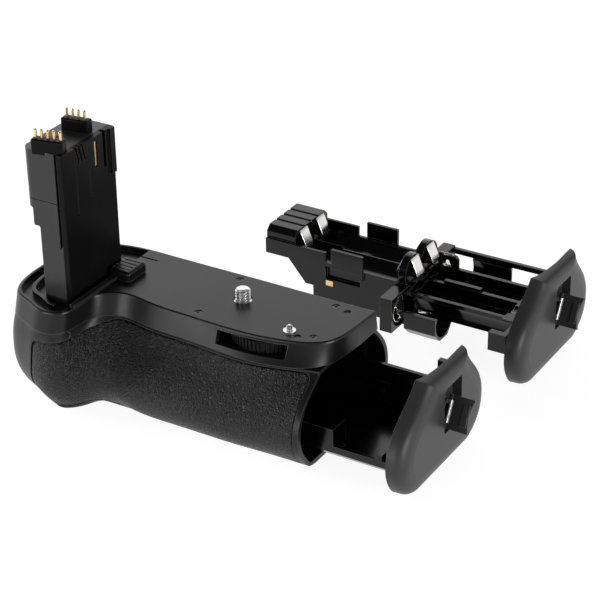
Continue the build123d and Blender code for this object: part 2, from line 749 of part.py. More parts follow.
def tower_cuts():
    """The slots and vents in the tower's right face."""
    right = -TOWER_RIGHT
    cuts = []
    for y, bottom in TOWER_LINES:
        half = TOWER_LINE_WIDTH / 2
        depth = right - TOWER_LINE_DEPTH
        cuts.append(block(depth, right + OVERRUN, y - half, y + half, bottom, TOWER_TOP + OVERRUN))
    for k in range(VENT_COUNT):
        y = VENT_FRONT + VENT_PITCH * k
        vent = Box(2 * VENT_DEPTH, VENT_WIDTH, 2 * VENT_LENGTH)
        cuts.append(Pos(right, y, TOWER_TOP) * Rot(VENT_LEAN, 0, 0) * vent)
    half = KEY_SLOT_WIDTH / 2
    bottom = TOWER_TOP - KEY_SLOT_HEIGHT
    depth = right - KEY_SLOT_DEPTH
    front, back = KEY_SLOT_Y - half, KEY_SLOT_Y + half
    cuts.append(block(depth, right + OVERRUN, front, back, bottom, TOWER_TOP + OVERRUN))
    top = TOWER_TOP - STRIP_TOP_DROP
    half = STRIP_WIDTH / 2
    inner = right - 2 * STRIP_THICK
    low = top - STRIP_HEIGHT
    cuts.append(block(inner, right + OVERRUN, STRIP_Y - half, STRIP_Y + half, low, top))
    return cuts


def block_socket(place, turn, length):
    """The seat that a contact block is let into at the tower's top."""
    x, y = place
    middle = TOWER_TOP - BLOCK_SHOULDER / 2
    return Pos(x, y, middle) * Rot(0, 0, turn) * Box(length, BLOCK_DEPTH, BLOCK_SHOULDER)


def tower_shell():
    """The tower's main shell, left of the seam in its front face."""
    seam = -TOWER_RIGHT - TOWER_SIDE_PLATE
    shell = tower_form() - block(seam, OVERRUN, -BULGE_DEPTH, OVERRUN, -OVERRUN, TOWER_TOP + OVERRUN)
    half = TOWER_BAND_WIDTH / 2
    shell -= block(
        -LEFT_REACH,
        seam,
        -TOWER_FRONT - OVERRUN,
        -TOWER_FRONT + TOWER_BAND_WIDTH,
        TOWER_BAND_LEVEL - half,
        TOWER_BAND_LEVEL + half,
    )
    shell -= block(
        seam - TOWER_SEAM_WIDTH,
        seam,
        -TOWER_FRONT - OVERRUN,
        -TOWER_FRONT + TOWER_SEAM_DEPTH,
        TOWER_SEAM_BOTTOM,
        TOWER_TOP + OVERRUN,
    )
    shell += prism_y(
        [
            (seam, TOWER_SEAM_BOTTOM + TOWER_SEAM_STOP),
            (seam, TOWER_SEAM_BOTTOM),
            (seam - TOWER_SEAM_WIDTH, TOWER_SEAM_BOTTOM),
        ],
        -TOWER_FRONT,
        -TOWER_FRONT + TOWER_SEAM_DEPTH,
    )
    x, y = TOWER_POST_PLACE
    shell += rod_z(x, y, TOWER_TOP - BLOCK_SHOULDER, TOWER_TOP + TOWER_POST_HEIGHT, TOWER_POST_RADIUS)
    return shell - tower_sockets()


def tower_sockets():
    """What both contact blocks and their pins take out of the tower's top."""
    sockets = block_socket(FRONT_BLOCK_PLACE, FRONT_BLOCK_TURN, FRONT_BLOCK_LENGTH)
    sockets += block_socket(REAR_BLOCK_PLACE, REAR_BLOCK_TURN, REAR_BLOCK_LENGTH)
    depth = PIN_BELOW + PIN_TRAVEL
    for place, turn, count in pin_groups():
        for x, y in pin_places(place, turn, count):
            sockets += rod_z(x, y, TOWER_TOP - depth, TOWER_TOP, PIN_RADIUS + PIN_GAP)
    return sockets


def tower_side():
    """The flat plate that closes the tower's right side."""
    seam = -TOWER_RIGHT - TOWER_SIDE_PLATE
    plate = tower_form() & block(seam, OVERRUN, -BULGE_DEPTH, OVERRUN, -OVERRUN, TOWER_TOP + OVERRUN)
    right = -TOWER_RIGHT
    back = -TOWER_BACK - TOWER_ARRIS
    low = TOWER_TOP - TOWER_EAR_HEIGHT
    ear = block(right, right + TOWER_EAR, back - TOWER_EAR_WIDTH, back, low, TOWER_TOP)
    plate += ear
    for cut in tower_cuts():
        plate -= cut
    return plate - tower_sockets()


def tower_strip():
    """The gold contact strip let into the tower's right face."""
    x = -TOWER_RIGHT - 2 * STRIP_THICK
    top = TOWER_TOP - STRIP_TOP_DROP
    half = STRIP_WIDTH / 2
    return block(x, x + STRIP_THICK, STRIP_Y - half, STRIP_Y + half, top - STRIP_HEIGHT, top)


def foot_rail(gap=0):
    """The twin rubber rail along the foot of the tower's right face, or its groove with a gap."""
    left = -LOBE_RIGHT
    front = -BULGE_DEPTH * PLAN_ROW_SHARES[0][6] + LOBE_RIM + RING_INSET
    back = -LOCK_BLOCK_FRONT - RAIL_WIDTH
    right = left + 2 * (RAIL_WIDTH + RAIL_GAP)
    rail = block(
        left + RAIL_GAP - gap, right + gap, back - gap, back + RAIL_WIDTH + gap, -RAIL_SINK, RAIL_HEIGHT
    )
    for x in (left + RAIL_GAP, right - RAIL_WIDTH):
        rail += block(x - gap, x + RAIL_WIDTH + gap, front - gap, back, -RAIL_SINK, RAIL_HEIGHT)
    return rail


def pin_groups():
    """Place, turn and count of each contact block's pins."""
    return [
        (FRONT_BLOCK_PLACE, FRONT_BLOCK_TURN, FRONT_PIN_COUNT),
        (REAR_BLOCK_PLACE, REAR_BLOCK_TURN, REAR_PIN_COUNT),
    ]


def pin_places(place, turn, count):
    """Where one block's pins stand, evenly along its length."""
    angle = math.radians(turn)
    places = []
    for k in range(count):
        along = PIN_PITCH * (k - (count - 1) / 2)
        places.append((place[0] + along * math.cos(angle), place[1] + along * math.sin(angle)))
    return places


def contact_block(place, turn, length, count):
    """A moulded block on the tower's top, with a bore for each pin."""
    height = BLOCK_HEIGHT + BLOCK_SHOULDER
    solid = Box(length, BLOCK_DEPTH, height, align=(Align.CENTER, Align.CENTER, Align.MIN))
    edges = solid.edges().group_by(Axis.Z)[-1] + solid.edges().filter_by(Axis.Z)
    solid = fillet(edges, BLOCK_ROUND)
    solid = Pos(place[0], place[1], TOWER_TOP - BLOCK_SHOULDER) * Rot(0, 0, turn) * solid
    for x, y in pin_places(place, turn, count):
        high = TOWER_TOP + BLOCK_HEIGHT + OVERRUN
        solid -= rod_z(x, y, TOWER_TOP - BLOCK_SHOULDER, high, PIN_RADIUS + PIN_GAP)
    return solid


def contact_pins(place, turn, count):
    """One block's gold spring pins, with pointed tips."""
    pins = []
    top = TOWER_TOP + BLOCK_HEIGHT + PIN_STAND
    for x, y in pin_places(place, turn, count):
        pin = rod_z(x, y, TOWER_TOP - PIN_BELOW, top - PIN_RADIUS, PIN_RADIUS)
        tip = Cone(PIN_RADIUS, PIN_TIP_RADIUS, PIN_RADIUS, align=(Align.CENTER, Align.CENTER, Align.MIN))
        pins.append(pin + Pos(x, y, top - PIN_RADIUS) * tip)
    return pins


def locating_pin():
    """The stepped pin that enters the hole beside the camera's tripod socket."""
    x, y = LOCATING_PLACE
    pin = rod_z(x, y, -LOCATING_SHANK, LOCATING_STAND - LOCATING_RADIUS / 2, LOCATING_RADIUS)
    half = LOCATING_RADIUS / 2
    nose = Cone(LOCATING_RADIUS, half, half, align=(Align.CENTER, Align.CENTER, Align.MIN))
    pin += Pos(x, y, LOCATING_STAND - LOCATING_RADIUS / 2) * nose
    return pin + rod_z(x, y, -LOCATING_SINK, LOCATING_FLANGE, LOCATING_FLANGE_RADIUS)


def toothed(radius_out, radius_in, count, tip_share, root_share, turn=0):
    """Outline of a wheel with straight-sided teeth; the first tooth points along the turn."""
    pitch = 2 * math.pi / count
    points = []
    for k in range(count):
        middle = math.radians(turn) + pitch * k
        for radius, offset in (
            (radius_in, -root_share / 2),
            (radius_out, -tip_share / 2),
            (radius_out, tip_share / 2),
            (radius_in, root_share / 2),
        ):
            angle = middle + offset * pitch
            points.append((radius * math.cos(angle), radius * math.sin(angle)))
    return points


def gear(count, turn, z_low, z_high):
    """A spur gear about the Z axis."""
    pitch_radius = GEAR_MODULE * count / 2
    tip = pitch_radius + GEAR_ADDENDUM
    root = pitch_radius - GEAR_DEDENDUM
    outline = toothed(tip, root, count, GEAR_TIP_SHARE, GEAR_ROOT_SHARE, turn)
    return prism_z(outline, z_low, z_high)


def mesh_angle():
    """Direction from the thumbwheel's axis to the camera screw's, in degrees."""
    return math.degrees(math.atan2(-WHEEL_Y, -WHEEL_X))


def thumbwheel():
    """The knurled wheel in the cover's slot, with its gear underneath."""
    rim = toothed(WHEEL_RADIUS, WHEEL_RADIUS - WHEEL_KNURL_DEPTH, WHEEL_KNURLS, *WHEEL_KNURL_SHARES)
    wheel = prism_z(rim, GEAR_TOP_Z, WHEEL_TOP_Z)
    dish = WHEEL_RADIUS - WHEEL_RIM
    wheel -= rod_z(0, 0, GEAR_TOP_Z + WHEEL_WEB, WHEEL_TOP_Z + OVERRUN, dish)
    wheel += rod_z(0, 0, GEAR_TOP_Z, WHEEL_TOP_Z, 2 * JOURNAL_RADIUS)
    wheel += gear(WHEEL_TEETH, mesh_angle(), GEAR_BOTTOM_Z, GEAR_TOP_Z)
    wheel -= rod_z(0, 0, GEAR_BOTTOM_Z - OVERRUN, OVERRUN, JOURNAL_RADIUS + SHAFT_GAP)
    return Pos(WHEEL_X, WHEEL_Y, 0) * wheel


def wheel_axle():
    """The steel pin that the thumbwheel turns on, from the cover into the body."""
    return rod_z(WHEEL_X, WHEEL_Y, -COVER_HEIGHT - JOURNAL_LENGTH, -SEAT_PLATE / 2, JOURNAL_RADIUS)


def camera_screw():
    """The camera screw, its shoulder under the seat, and the gear on its shank."""
    top = CAMERA_SCREW_STAND - CAMERA_SCREW_TIP
    screw = rod_z(0, 0, -SHOULDER_DROP, top, CAMERA_SCREW_RADIUS)
    tip_radius = CAMERA_SCREW_RADIUS - CAMERA_SCREW_TIP
    middle = (Align.CENTER, Align.CENTER, Align.MIN)
    tip = Cone(CAMERA_SCREW_RADIUS, tip_radius, CAMERA_SCREW_TIP, align=middle)
    screw += Pos(0, 0, top) * tip
    screw += rod_z(0, 0, GEAR_BOTTOM_Z, -SHOULDER_DROP, SHOULDER_RADIUS)
    half_pitch = 180 / SCREW_TEETH
    low, high = GEAR_BOTTOM_Z + GEAR_STAGGER, GEAR_TOP_Z - GEAR_STAGGER
    screw += gear(SCREW_TEETH, mesh_angle() + 180 + half_pitch, low, high)
    screw += rod_z(0, 0, -COVER_HEIGHT - JOURNAL_LENGTH, GEAR_BOTTOM_Z, JOURNAL_RADIUS)
    return screw


def bay_outline(distance):
    """Section of the tray bay, with bevels where the grip's front rounds over."""
    top = BAY_TOP_Z - distance
    low = BAY_FLOOR_Z + distance
    front = -BAY_FRONT + distance
    back = BAY_BACK - distance
    return [
        (front + BAY_TOP_BEVEL, top),
        (back - BAY_FLOOR_BEVEL, top),
        (back, top - BAY_FLOOR_BEVEL),
        (back, low + BAY_FLOOR_BEVEL),
        (back - BAY_FLOOR_BEVEL, low),
        (front + BAY_FLOOR_BEVEL, low),
        (front, low + BAY_FLOOR_BEVEL),
        (front, top - BAY_TOP_BEVEL),
    ]


def wide_outline():
    """Section of the bay's wider outer stretch, which takes the AA tray's four-cell end."""
    bevel = WIDE_BEVEL
    low_bevel = WIDE_FLOOR_BEVEL
    return [
        (bevel - WIDE_FRONT, BAY_TOP_Z),
        (WIDE_BACK - bevel, BAY_TOP_Z),
        (WIDE_BACK, BAY_TOP_Z - bevel),
        (WIDE_BACK, BAY_FLOOR_Z + low_bevel),
        (WIDE_BACK - low_bevel, BAY_FLOOR_Z),
        (low_bevel - WIDE_FRONT, BAY_FLOOR_Z),
        (-WIDE_FRONT, BAY_FLOOR_Z + low_bevel),
        (-WIDE_FRONT, BAY_TOP_Z - bevel),
    ]


def mouth_hollow():
    """The thin-walled mouth that the end cap closes."""
    inner = grip_form(MOUTH_WALL)
    roof = -COVER_HEIGHT - MOUTH_ROOF
    keep = block(MOUTH_X - MOUTH_DEPTH, MOUTH_X, -BULGE_DEPTH, BULGE_DEPTH, BASE_Z + MOUTH_WALL, roof)
    return inner & keep


def skin_region(margin):
    """The front of the grip that the rubber skin covers, as seen from the front."""
    top = -COVER_HEIGHT - SKIN_TOP_DROP - margin
    bulge_top = top - SKIN_BULGE_DROP
    groove = LEFT_REACH * GROOVE_X_SHARE
    corners = [
        (SKIN_RIGHT - margin, top),
        (groove, top),
        (-SKIN_BULGE_RIGHT, bulge_top),
        (-SKIN_LEFT_TOP + margin, bulge_top),
        (-SKIN_LEFT_BOTTOM + margin, BASE_Z - OVERRUN),
        (SKIN_RIGHT - margin, BASE_Z - OVERRUN),
    ]
    face = rounded(corners, SKIN_CORNER)
    region = extrude(Plane.XZ.offset(SKIN_BACK) * face, amount=BULGE_DEPTH)
    front = -BULGE_DEPTH - OVERRUN
    high = BASE_Z + SKIN_UNDER + margin
    return region - block(-LEFT_REACH, MOUTH_X, front, 0, BASE_Z - 2 * OVERRUN, high)


def skin_layer(outer, thickness):
    """The outermost layer of the body inside the skin's region."""
    return (outer - grip_form(thickness)) & skin_region(0)


def end_panel_region():
    """The smooth panel round the left end, under the cover."""
    top = -COVER_HEIGHT
    region = block(
        -LEFT_REACH - OVERRUN, -SKIN_BULGE_RIGHT, -BULGE_DEPTH - OVERRUN, PANEL_BACK, top - PANEL_DROP, top
    )
    return region - skin_region(-PANEL_SEAM)


def end_panel(outer):
    """The separate smooth moulding round the left end."""
    return (outer - grip_form(PANEL_THICK)) & end_panel_region()


def control_pad():
    """The flat pad on the back that carries the buttons and the power switch."""
    pad = block(-PAD_LEFT, -PAD_RIGHT, PAD_FACE - PAD_DEPTH, PAD_FACE, -PAD_BOTTOM, -PAD_TOP)
    return fillet(pad.edges().filter_by(Axis.Y), PAD_ROUND)


def key_places():
    """Where the three buttons on the back stand, from the left."""
    return [KEY_FIRST_X + KEY_PITCH * k for k in range(3)]


def control_cuts():
    """Pockets for the buttons, the dial and the switch."""
    face = -END_FACE_X
    pocket = face + BUTTON_THICK - BUTTON_STAND + BUTTON_TRAVEL + BUTTON_GAP
    cuts = [rod_x(face - OVERRUN, face + BEZEL_DEPTH, BUTTON_Y, BUTTON_Z, BEZEL_RADIUS)]
    cuts.append(rod_x(face, pocket, BUTTON_Y, BUTTON_Z, BUTTON_RADIUS + BUTTON_GAP))
    half = DIAL_THICK / 2 + DIAL_GAP
    cuts.append(rod_z(dial_x(), DIAL_Y, DIAL_Z - half, DIAL_Z + half, DIAL_RADIUS + DIAL_GAP))
    reach = DIAL_THICK / 2 + DIAL_AXLE_OVERRUN
    cuts.append(rod_z(dial_x(), DIAL_Y, DIAL_Z - reach, DIAL_Z + reach, DIAL_AXLE_RADIUS))
    depth = KEY_THICK - KEY_STAND + KEY_TRAVEL + KEY_GAP
    for x in key_places():
        cuts.append(rod_y(x, PAD_FACE - depth, PAD_FACE + OVERRUN, KEY_Z, KEY_RADIUS + KEY_GAP))
    low = PAD_FACE - SWITCH_AXLE_DEPTH
    cuts.append(rod_y(SWITCH_X, low, PAD_FACE, SWITCH_Z, SWITCH_AXLE_RADIUS + SWITCH_FIT))
    return cuts


def dial_x():
    """The dial's axis, set so that it stands out of the left end face."""
    return DIAL_RADIUS - DIAL_STAND - DIAL_FACE_X


def grip_housing(outer):
    """The moulded body of the grip, with the tray bay running through it."""
    body = outer - mouth_hollow()
    body -= prism_x(bay_outline(0), -BAY_LEFT, MOUTH_X + OVERRUN)
    body -= prism_x(wide_outline(), -WIDE_LEFT, MOUTH_X + OVERRUN)
    for low, high in ((-BAY_FRONT - GUIDE_WIDTH, -BAY_FRONT), (BAY_BACK, BAY_BACK + GUIDE_WIDTH)):
        body += block(-WIDE_LEFT, MOUTH_X - MOUTH_DEPTH, low, high, BAY_FLOOR_Z, BAY_FLOOR_Z + GUIDE_HEIGHT)
    body += control_pad()
    body -= rod_z(0, 0, BASE_Z - OVERRUN, BASE_Z + SOCKET_DEPTH, SOCKET_RADIUS)
    for x, y in BASE_SCREW_PLACES:
        body -= Pos(x, y, BASE_Z) * Rot(180, 0, 0) * screw_hole(0, 0, 0, BASE_SCREW_LENGTH)
    body -= rod_z(0, 0, -COVER_HEIGHT - JOURNAL_LENGTH - SHAFT_GAP, 0, JOURNAL_RADIUS + SHAFT_GAP)
    body -= rod_z(WHEEL_X, WHEEL_Y, -COVER_HEIGHT - JOURNAL_LENGTH, 0, JOURNAL_RADIUS)
    for x, y in SCREW_PLACES:
        body -= rod_z(x, y, -SCREW_SHANK_LENGTH, 0, SCREW_SHANK_RADIUS)
    for cut in control_cuts():
        body -= cut
    return body


def tripod_socket():
    """The steel bush in the base that takes a tripod's screw."""
    bush = rod_z(0, 0, BASE_Z, BASE_Z + SOCKET_DEPTH, SOCKET_RADIUS)
    return bush - rod_z(0, 0, BASE_Z - OVERRUN, BASE_Z + OVERRUN, SOCKET_BORE)


def base_screws():
    """The four screws that close the base."""
    screw = Rot(180, 0, 0) * small_screw(0, 0, 0, BASE_SCREW_LENGTH)
    return [Pos(x, y, BASE_Z) * screw for x, y in BASE_SCREW_PLACES]


def shutter_bezel():
    """The ring round the vertical shutter button."""
    face = -END_FACE_X
    ring = rod_x(face - BEZEL_STAND, face + BEZEL_DEPTH, BUTTON_Y, BUTTON_Z, BEZEL_RADIUS)
    ring -= rod_x(face - OVERRUN, face + OVERRUN, BUTTON_Y, BUTTON_Z, BUTTON_RADIUS + BUTTON_GAP)
    return fillet(ring.edges().group_by(Axis.X)[0], BEZEL_ROUND)


def shutter_button():
    """The vertical shutter button, which is pressed along X."""
    x = -END_FACE_X - BUTTON_STAND
    button = rod_x(x, x + BUTTON_THICK, BUTTON_Y, BUTTON_Z, BUTTON_RADIUS)
    return fillet(button.edges().group_by(Axis.X)[0], BEZEL_ROUND)


def main_dial():
    """The knurled dial beside the shutter button."""
    outline = toothed(DIAL_RADIUS, DIAL_RADIUS - DIAL_KNURL_DEPTH, DIAL_KNURLS, *DIAL_KNURL_SHARES)
    dial = prism_z(outline, -DIAL_THICK / 2, DIAL_THICK / 2)
    dial -= rod_z(0, 0, -DIAL_THICK, DIAL_THICK, DIAL_AXLE_RADIUS + SHAFT_GAP)
    return Pos(dial_x(), DIAL_Y, DIAL_Z) * dial


def dial_axle():
    """The steel pin that the dial turns on."""
    reach = DIAL_THICK / 2 + DIAL_AXLE_OVERRUN
    return rod_z(dial_x(), DIAL_Y, DIAL_Z - reach, DIAL_Z + reach, DIAL_AXLE_RADIUS)


def back_key(x):
    """One round button on the back."""
    top = PAD_FACE + KEY_STAND
    key = rod_y(x, top - KEY_THICK, top, KEY_Z, KEY_RADIUS)
    return fillet(key.edges().group_by(Axis.Y)[-1], BEZEL_ROUND)


def power_switch():
    """The turning power switch, a disc with a finger tab and its axle."""
    low = PAD_FACE + SWITCH_GAP
    disc = rod_y(SWITCH_X, low, low + SWITCH_THICK, SWITCH_Z, SWITCH_RADIUS)
    half = SWITCH_TAB_WIDTH / 2
    disc += block(SWITCH_X, SWITCH_X + SWITCH_TAB, low, low + SWITCH_THICK, SWITCH_Z - half, SWITCH_Z + half)
    axle = rod_y(SWITCH_X, PAD_FACE - SWITCH_AXLE_DEPTH + SWITCH_FIT, low, SWITCH_Z, SWITCH_AXLE_RADIUS)
    return disc + axle


def bay_contacts():
    """Four gold strips on the bay's left wall that meet the tray."""
    x = -BAY_LEFT
    z = TRAY_BOTTOM_Z + TRAY_BACK_RISE / 2
    strips = []
    for k in range(TRAY_STRIP_COUNT):
        y = TRAY_STRIP_PITCH * (k - (TRAY_STRIP_COUNT - 1) / 2)
        half = TRAY_STRIP_WIDTH / 2
        tall = TRAY_STRIP_HEIGHT / 2
        strips.append(block(x, x + TRAY_STRIP_THICK, y - half, y + half, z - tall, z + tall))
    return strips


def tray_frame():
    """The pack tray: floor, walls, shelves, sloping cradle and latch hook."""
    low = TRAY_BOTTOM_Z
    left = -TRAY_LEFT
    right = CAP_RIM_X + CAP_HOLLOW
    front = TRAY_FRONT_Y
    back = TRAY_BACK_Y
    wall = TRAY_WALL
    tray = block(left, right, front, back, low, low + TRAY_FLOOR)
    tray += block(left, TRAY_STEP_X, front, front + wall, low, low + TRAY_FRONT_RISE)
    tray += block(left, right, front, front + wall, low, low + TRAY_LOW_RISE)
    tray += block(left, right, back - wall, back, low, low + TRAY_BACK_RISE)
    tray += block(left, left + wall, front, back, low, low + TRAY_BACK_RISE)
    step = TRAY_STEP_X
    tray += block(step - wall, step, front, front + TRAY_RETURN, low, low + TRAY_FRONT_RISE)
    post = TRAY_LOW_END
    tray += block(post, post + TRAY_POST, front, front + 2 * wall, low, low + TRAY_POST_RISE)
    shelf = low + TRAY_SHELF_RISE
    tray += block(left, step, front, front + wall + TRAY_SHELF_WIDTH, shelf - TRAY_FLOOR, shelf)
    tray += block(left, step, back - wall - TRAY_SHELF_WIDTH, back, shelf - TRAY_FLOOR, shelf)
    divider = left + wall + PACK_LENGTH + 2 * SLIDE_GAP
    tray += block(divider, divider + wall, front, back, low, low + TRAY_DIVIDER_RISE)
    top = (back - wall, low + SLOPE_TOP_RISE)
    foot = (back - wall - SLOPE_RUN, low + TRAY_FLOOR)
    thick = SLOPE_THICK
    profile = [(back - wall, low), top, foot, (foot[0], low)]
    cradle = prism_x(profile, SLOPE_LEFT, right)
    for k in range(SLOPE_RIBS):
        share = (k + 0.5) / SLOPE_RIBS
        y = top[0] + (foot[0] - top[0]) * share
        z = top[1] + (foot[1] - top[1]) * share
        cradle += rod_x(SLOPE_LEFT, right, y, z, SLOPE_RIB)
    tray += cradle
    seam = TRAY_LOW_END
    half = TRAY_SEAM_WIDTH / 2
    seam_top = low + TRAY_BACK_RISE + OVERRUN
    tray -= block(seam - half, seam + half, back - wall - half, back - wall + half, shelf, seam_top)
    hook_top = BAY_TOP_Z - LATCH_HOOK_WIDTH
    tray += block(right - TRAY_RETURN, right, back - LATCH_HOOK_WIDTH, back, low + wall, hook_top)
    tray &= prism_x(bay_outline(SLIDE_GAP), left, right)
    return TRAY_PLACE * tray


def tray_strips():
    """Gold strips on the tray's left wall."""
    x = -TRAY_LEFT - TRAY_STRIP_THICK
    z = TRAY_BOTTOM_Z + TRAY_BACK_RISE / 2
    strips = []
    for k in range(TRAY_STRIP_COUNT):
        y = TRAY_STRIP_PITCH * (k - (TRAY_STRIP_COUNT - 1) / 2)
        half = TRAY_STRIP_WIDTH / 2
        tall = TRAY_STRIP_HEIGHT / 2
        strips.append(TRAY_PLACE * block(x, x + TRAY_STRIP_THICK, y - half, y + half, z - tall, z + tall))
    return strips


def cap_side(sign, distance):
    """One side of the end cap's profile, from its top to its base, moved in."""
    column = 1 if sign < 0 else 8
    size = MOUTH_FRONT if sign < 0 else CAP_BACK
    crown = CAP_TOP_FRONT if sign < 0 else CAP_TOP_BACK
    points = [(sign * crown, -CAP_TOP)]
    for row in range(2, len(PLAN_ROW_SHARES)):
        points.append((sign * size * PLAN_ROW_SHARES[row][column], row_level(row)))
    return inset(points, sign * distance)


def cap_section(x, distance):
    """The end cap's outline at one place along X."""
    front = Spline(*[Vector(x, y, z) for y, z in cap_side(-1, distance)])
    back = Spline(*[Vector(x, y, z) for y, z in cap_side(1, distance)])
    edges = [front, Line(front @ 1, back @ 1), back, Line(back @ 0, front @ 0)]
    return make_face(edges)


def end_cap():
    """The domed end cap, with its ledge under the cover and its latch pocket."""
    faces = []
    for x_share, in_share in CAP_EDGE_SHARES:
        faces.append(cap_section(CAP_RIM_X + CAP_THICK * x_share, CAP_ROUND * in_share))
    cap = loft(faces)
    ledge = -COVER_HEIGHT - CAP_LEDGE_GAP
    over = section(inset(cover_points(1), -CAP_LEDGE_GAP), ledge)
    cap -= extrude(over, amount=COVER_HEIGHT + OVERRUN)
    hollow = extrude(cap_section(CAP_RIM_X - OVERRUN, CAP_WALL), amount=OVERRUN + CAP_HOLLOW)
    cap -= hollow - block(0, CAP_FACE_X, -BULGE_DEPTH, BULGE_DEPTH, ledge - CAP_WALL, OVERRUN)
    inner = CAP_FACE_X - POCKET_DEPTH
    outer = CAP_FACE_X + OVERRUN
    pocket = block(inner, outer, -POCKET_LEFT, POCKET_RIGHT, -POCKET_BOTTOM, -POCKET_TOP)
    cap -= fillet(pocket.edges().filter_by(Axis.X), POCKET_ROUND)
    cap -= rod_x(0, CAP_FACE_X, LATCH_Y, LATCH_Z, LATCH_SHAFT_RADIUS + LATCH_SHAFT_GAP)
    return cap


def latch_frame():
    """Moves a latch piece from its own upright frame onto the cap, turned as in the photograph."""
    return Pos(0, LATCH_Y, LATCH_Z) * Rot(-LATCH_TILT, 0, 0)


def latch_rotor():
    """The turning latch: plate and saddle in the pocket, shaft, and cam behind the cap."""
    plate_back = PLATE_FRONT_X - LATCH_PLATE
    low = -HINGE_PIN_BELOW - LATCH_PLATE_BELOW
    high = HINGE_PIN_LENGTH - HINGE_PIN_BELOW - KNUCKLE_LENGTH
    half = LATCH_ARM_WIDTH / 2
    rotor = block(plate_back, PLATE_FRONT_X, -half, half, low, high)
    saddle_low = HINGE_PIN_LENGTH / 2 - HINGE_PIN_BELOW - SADDLE_LENGTH / 2
    saddle_high = saddle_low + SADDLE_LENGTH
    saddle_half = SADDLE_WIDTH / 2
    rotor += block(plate_back, PIN_AXIS_X, -saddle_half, saddle_half, saddle_low, saddle_high)
    rotor -= rod_z(PIN_AXIS_X, 0, low - OVERRUN, high + OVERRUN, HINGE_PIN_RADIUS)
    inner = CAP_RIM_X + CAP_HOLLOW - CAM_GAP
    rotor += rod_x(inner - CAM_THICK, plate_back, 0, 0, LATCH_SHAFT_RADIUS)
    cam_half = CAM_WIDTH / 2
    rotor += block(inner - CAM_THICK, inner, -cam_half, cam_half, -cam_half, CAM_LENGTH)
    return rotor


def hinge_pin():
    """The bright pin that the lever flips on."""
    return rod_z(PIN_AXIS_X, 0, -HINGE_PIN_BELOW, HINGE_PIN_LENGTH - HINGE_PIN_BELOW, HINGE_PIN_RADIUS)


def latch_lever():
    """The flip-out lever: a plate with a hollowed end and two knuckles on the pin."""
    low = -HINGE_PIN_BELOW
    high = HINGE_PIN_LENGTH - HINGE_PIN_BELOW
    root = PIN_AXIS_X + KNUCKLE_RADIUS + LEVER_ROOT_GAP
    tip = PIN_AXIS_X + LEVER_REACH
    half = LEVER_THICK / 2
    middle = (low + high) / 2
    edge = make_face(
        [
            Line((root, low), (tip, low)),
            ThreePointArc((tip, low), (tip - LEVER_HOLLOW, middle), (tip, high)),
            Line((tip, high), (root, high)),
            Line((root, high), (root, low)),
        ]
    )
    plate = extrude(Plane.XZ.offset(-half) * edge, amount=LEVER_THICK)
    margin = LEVER_PAD_MARGIN
    inner = tip - LEVER_PAD_REACH
    outer = tip - LEVER_HOLLOW - LEVER_PAD
    lever = plate + block(inner, outer, -half - LEVER_PAD, -half, low + margin, high - margin)
    for z in (low, high - KNUCKLE_LENGTH):
        lever += rod_z(PIN_AXIS_X, 0, z, z + KNUCKLE_LENGTH, KNUCKLE_RADIUS)
        lever += block(PIN_AXIS_X, root, -half, half, z, z + KNUCKLE_LENGTH)
    return lever - rod_z(PIN_AXIS_X, 0, low - OVERRUN, high + OVERRUN, HINGE_PIN_RADIUS + HINGE_FIT)


def aa_row_y(pitch, side):
    """The axis of a cell row, on the front or back side of the AA tray."""
    return AA_MIDDLE_Y + side * pitch / 2


def aa_block():
    """The ridged block at the AA tray's left end."""
    left = -AA_BLOCK_LEFT
    front = AA_MIDDLE_Y - AA_BLOCK_HALF
    back = AA_MIDDLE_Y + AA_BLOCK_HALF
    top = -AA_BLOCK_TOP
    edge = AA_BLOCK_EDGE
    outline = [(back, -AA_DECK_Z), (front, -AA_DECK_Z), (front, top - edge), (front + edge, top)]
    pitch = (back - front - 2 * edge) / AA_BLOCK_RIDGES
    for k in range(1, AA_BLOCK_RIDGES):
        y = front + edge + pitch * k
        outline += [(y - 2 * AA_BLOCK_RIDGE, top), (y, top - AA_BLOCK_RIDGE), (y + AA_BLOCK_RIDGE / 2, top)]
    outline += [(back - edge, top), (back, top - edge)]
    return prism_x(outline, left, left + AA_BLOCK_LENGTH)


def aa_side_profile(right):
    """Side view of the AA tray's body: overhang, slope, foot, and the low walls of its outer half."""
    left = -AA_BLOCK_LEFT
    start = left + AA_SLOPE_START
    end = start + AA_SLOPE_RUN
    foot = end + AA_FLAT_RUN
    drop = -AA_DECK_Z - AA_SLOPE_DROP
    low = -AA_BOTTOM_Z
    outline = [(left, -AA_WALL_Z), (left, -AA_DECK_Z), (start, -AA_DECK_Z), (end, drop), (foot, drop)]
    outline += [(foot, low), (AA_FOOT_END, low), (AA_FOOT_END, -AA_PANEL_Z), (right, -AA_PANEL_Z)]
    outline += [(right, -AA_RAIL_Z), (-AA_MID_LEFT, -AA_RAIL_Z), (-AA_MID_LEFT, -AA_CROWN_Z)]
    return outline + [(-AA_WALL_END, -AA_CROWN_Z), (-AA_WALL_END, -AA_WALL_Z)]


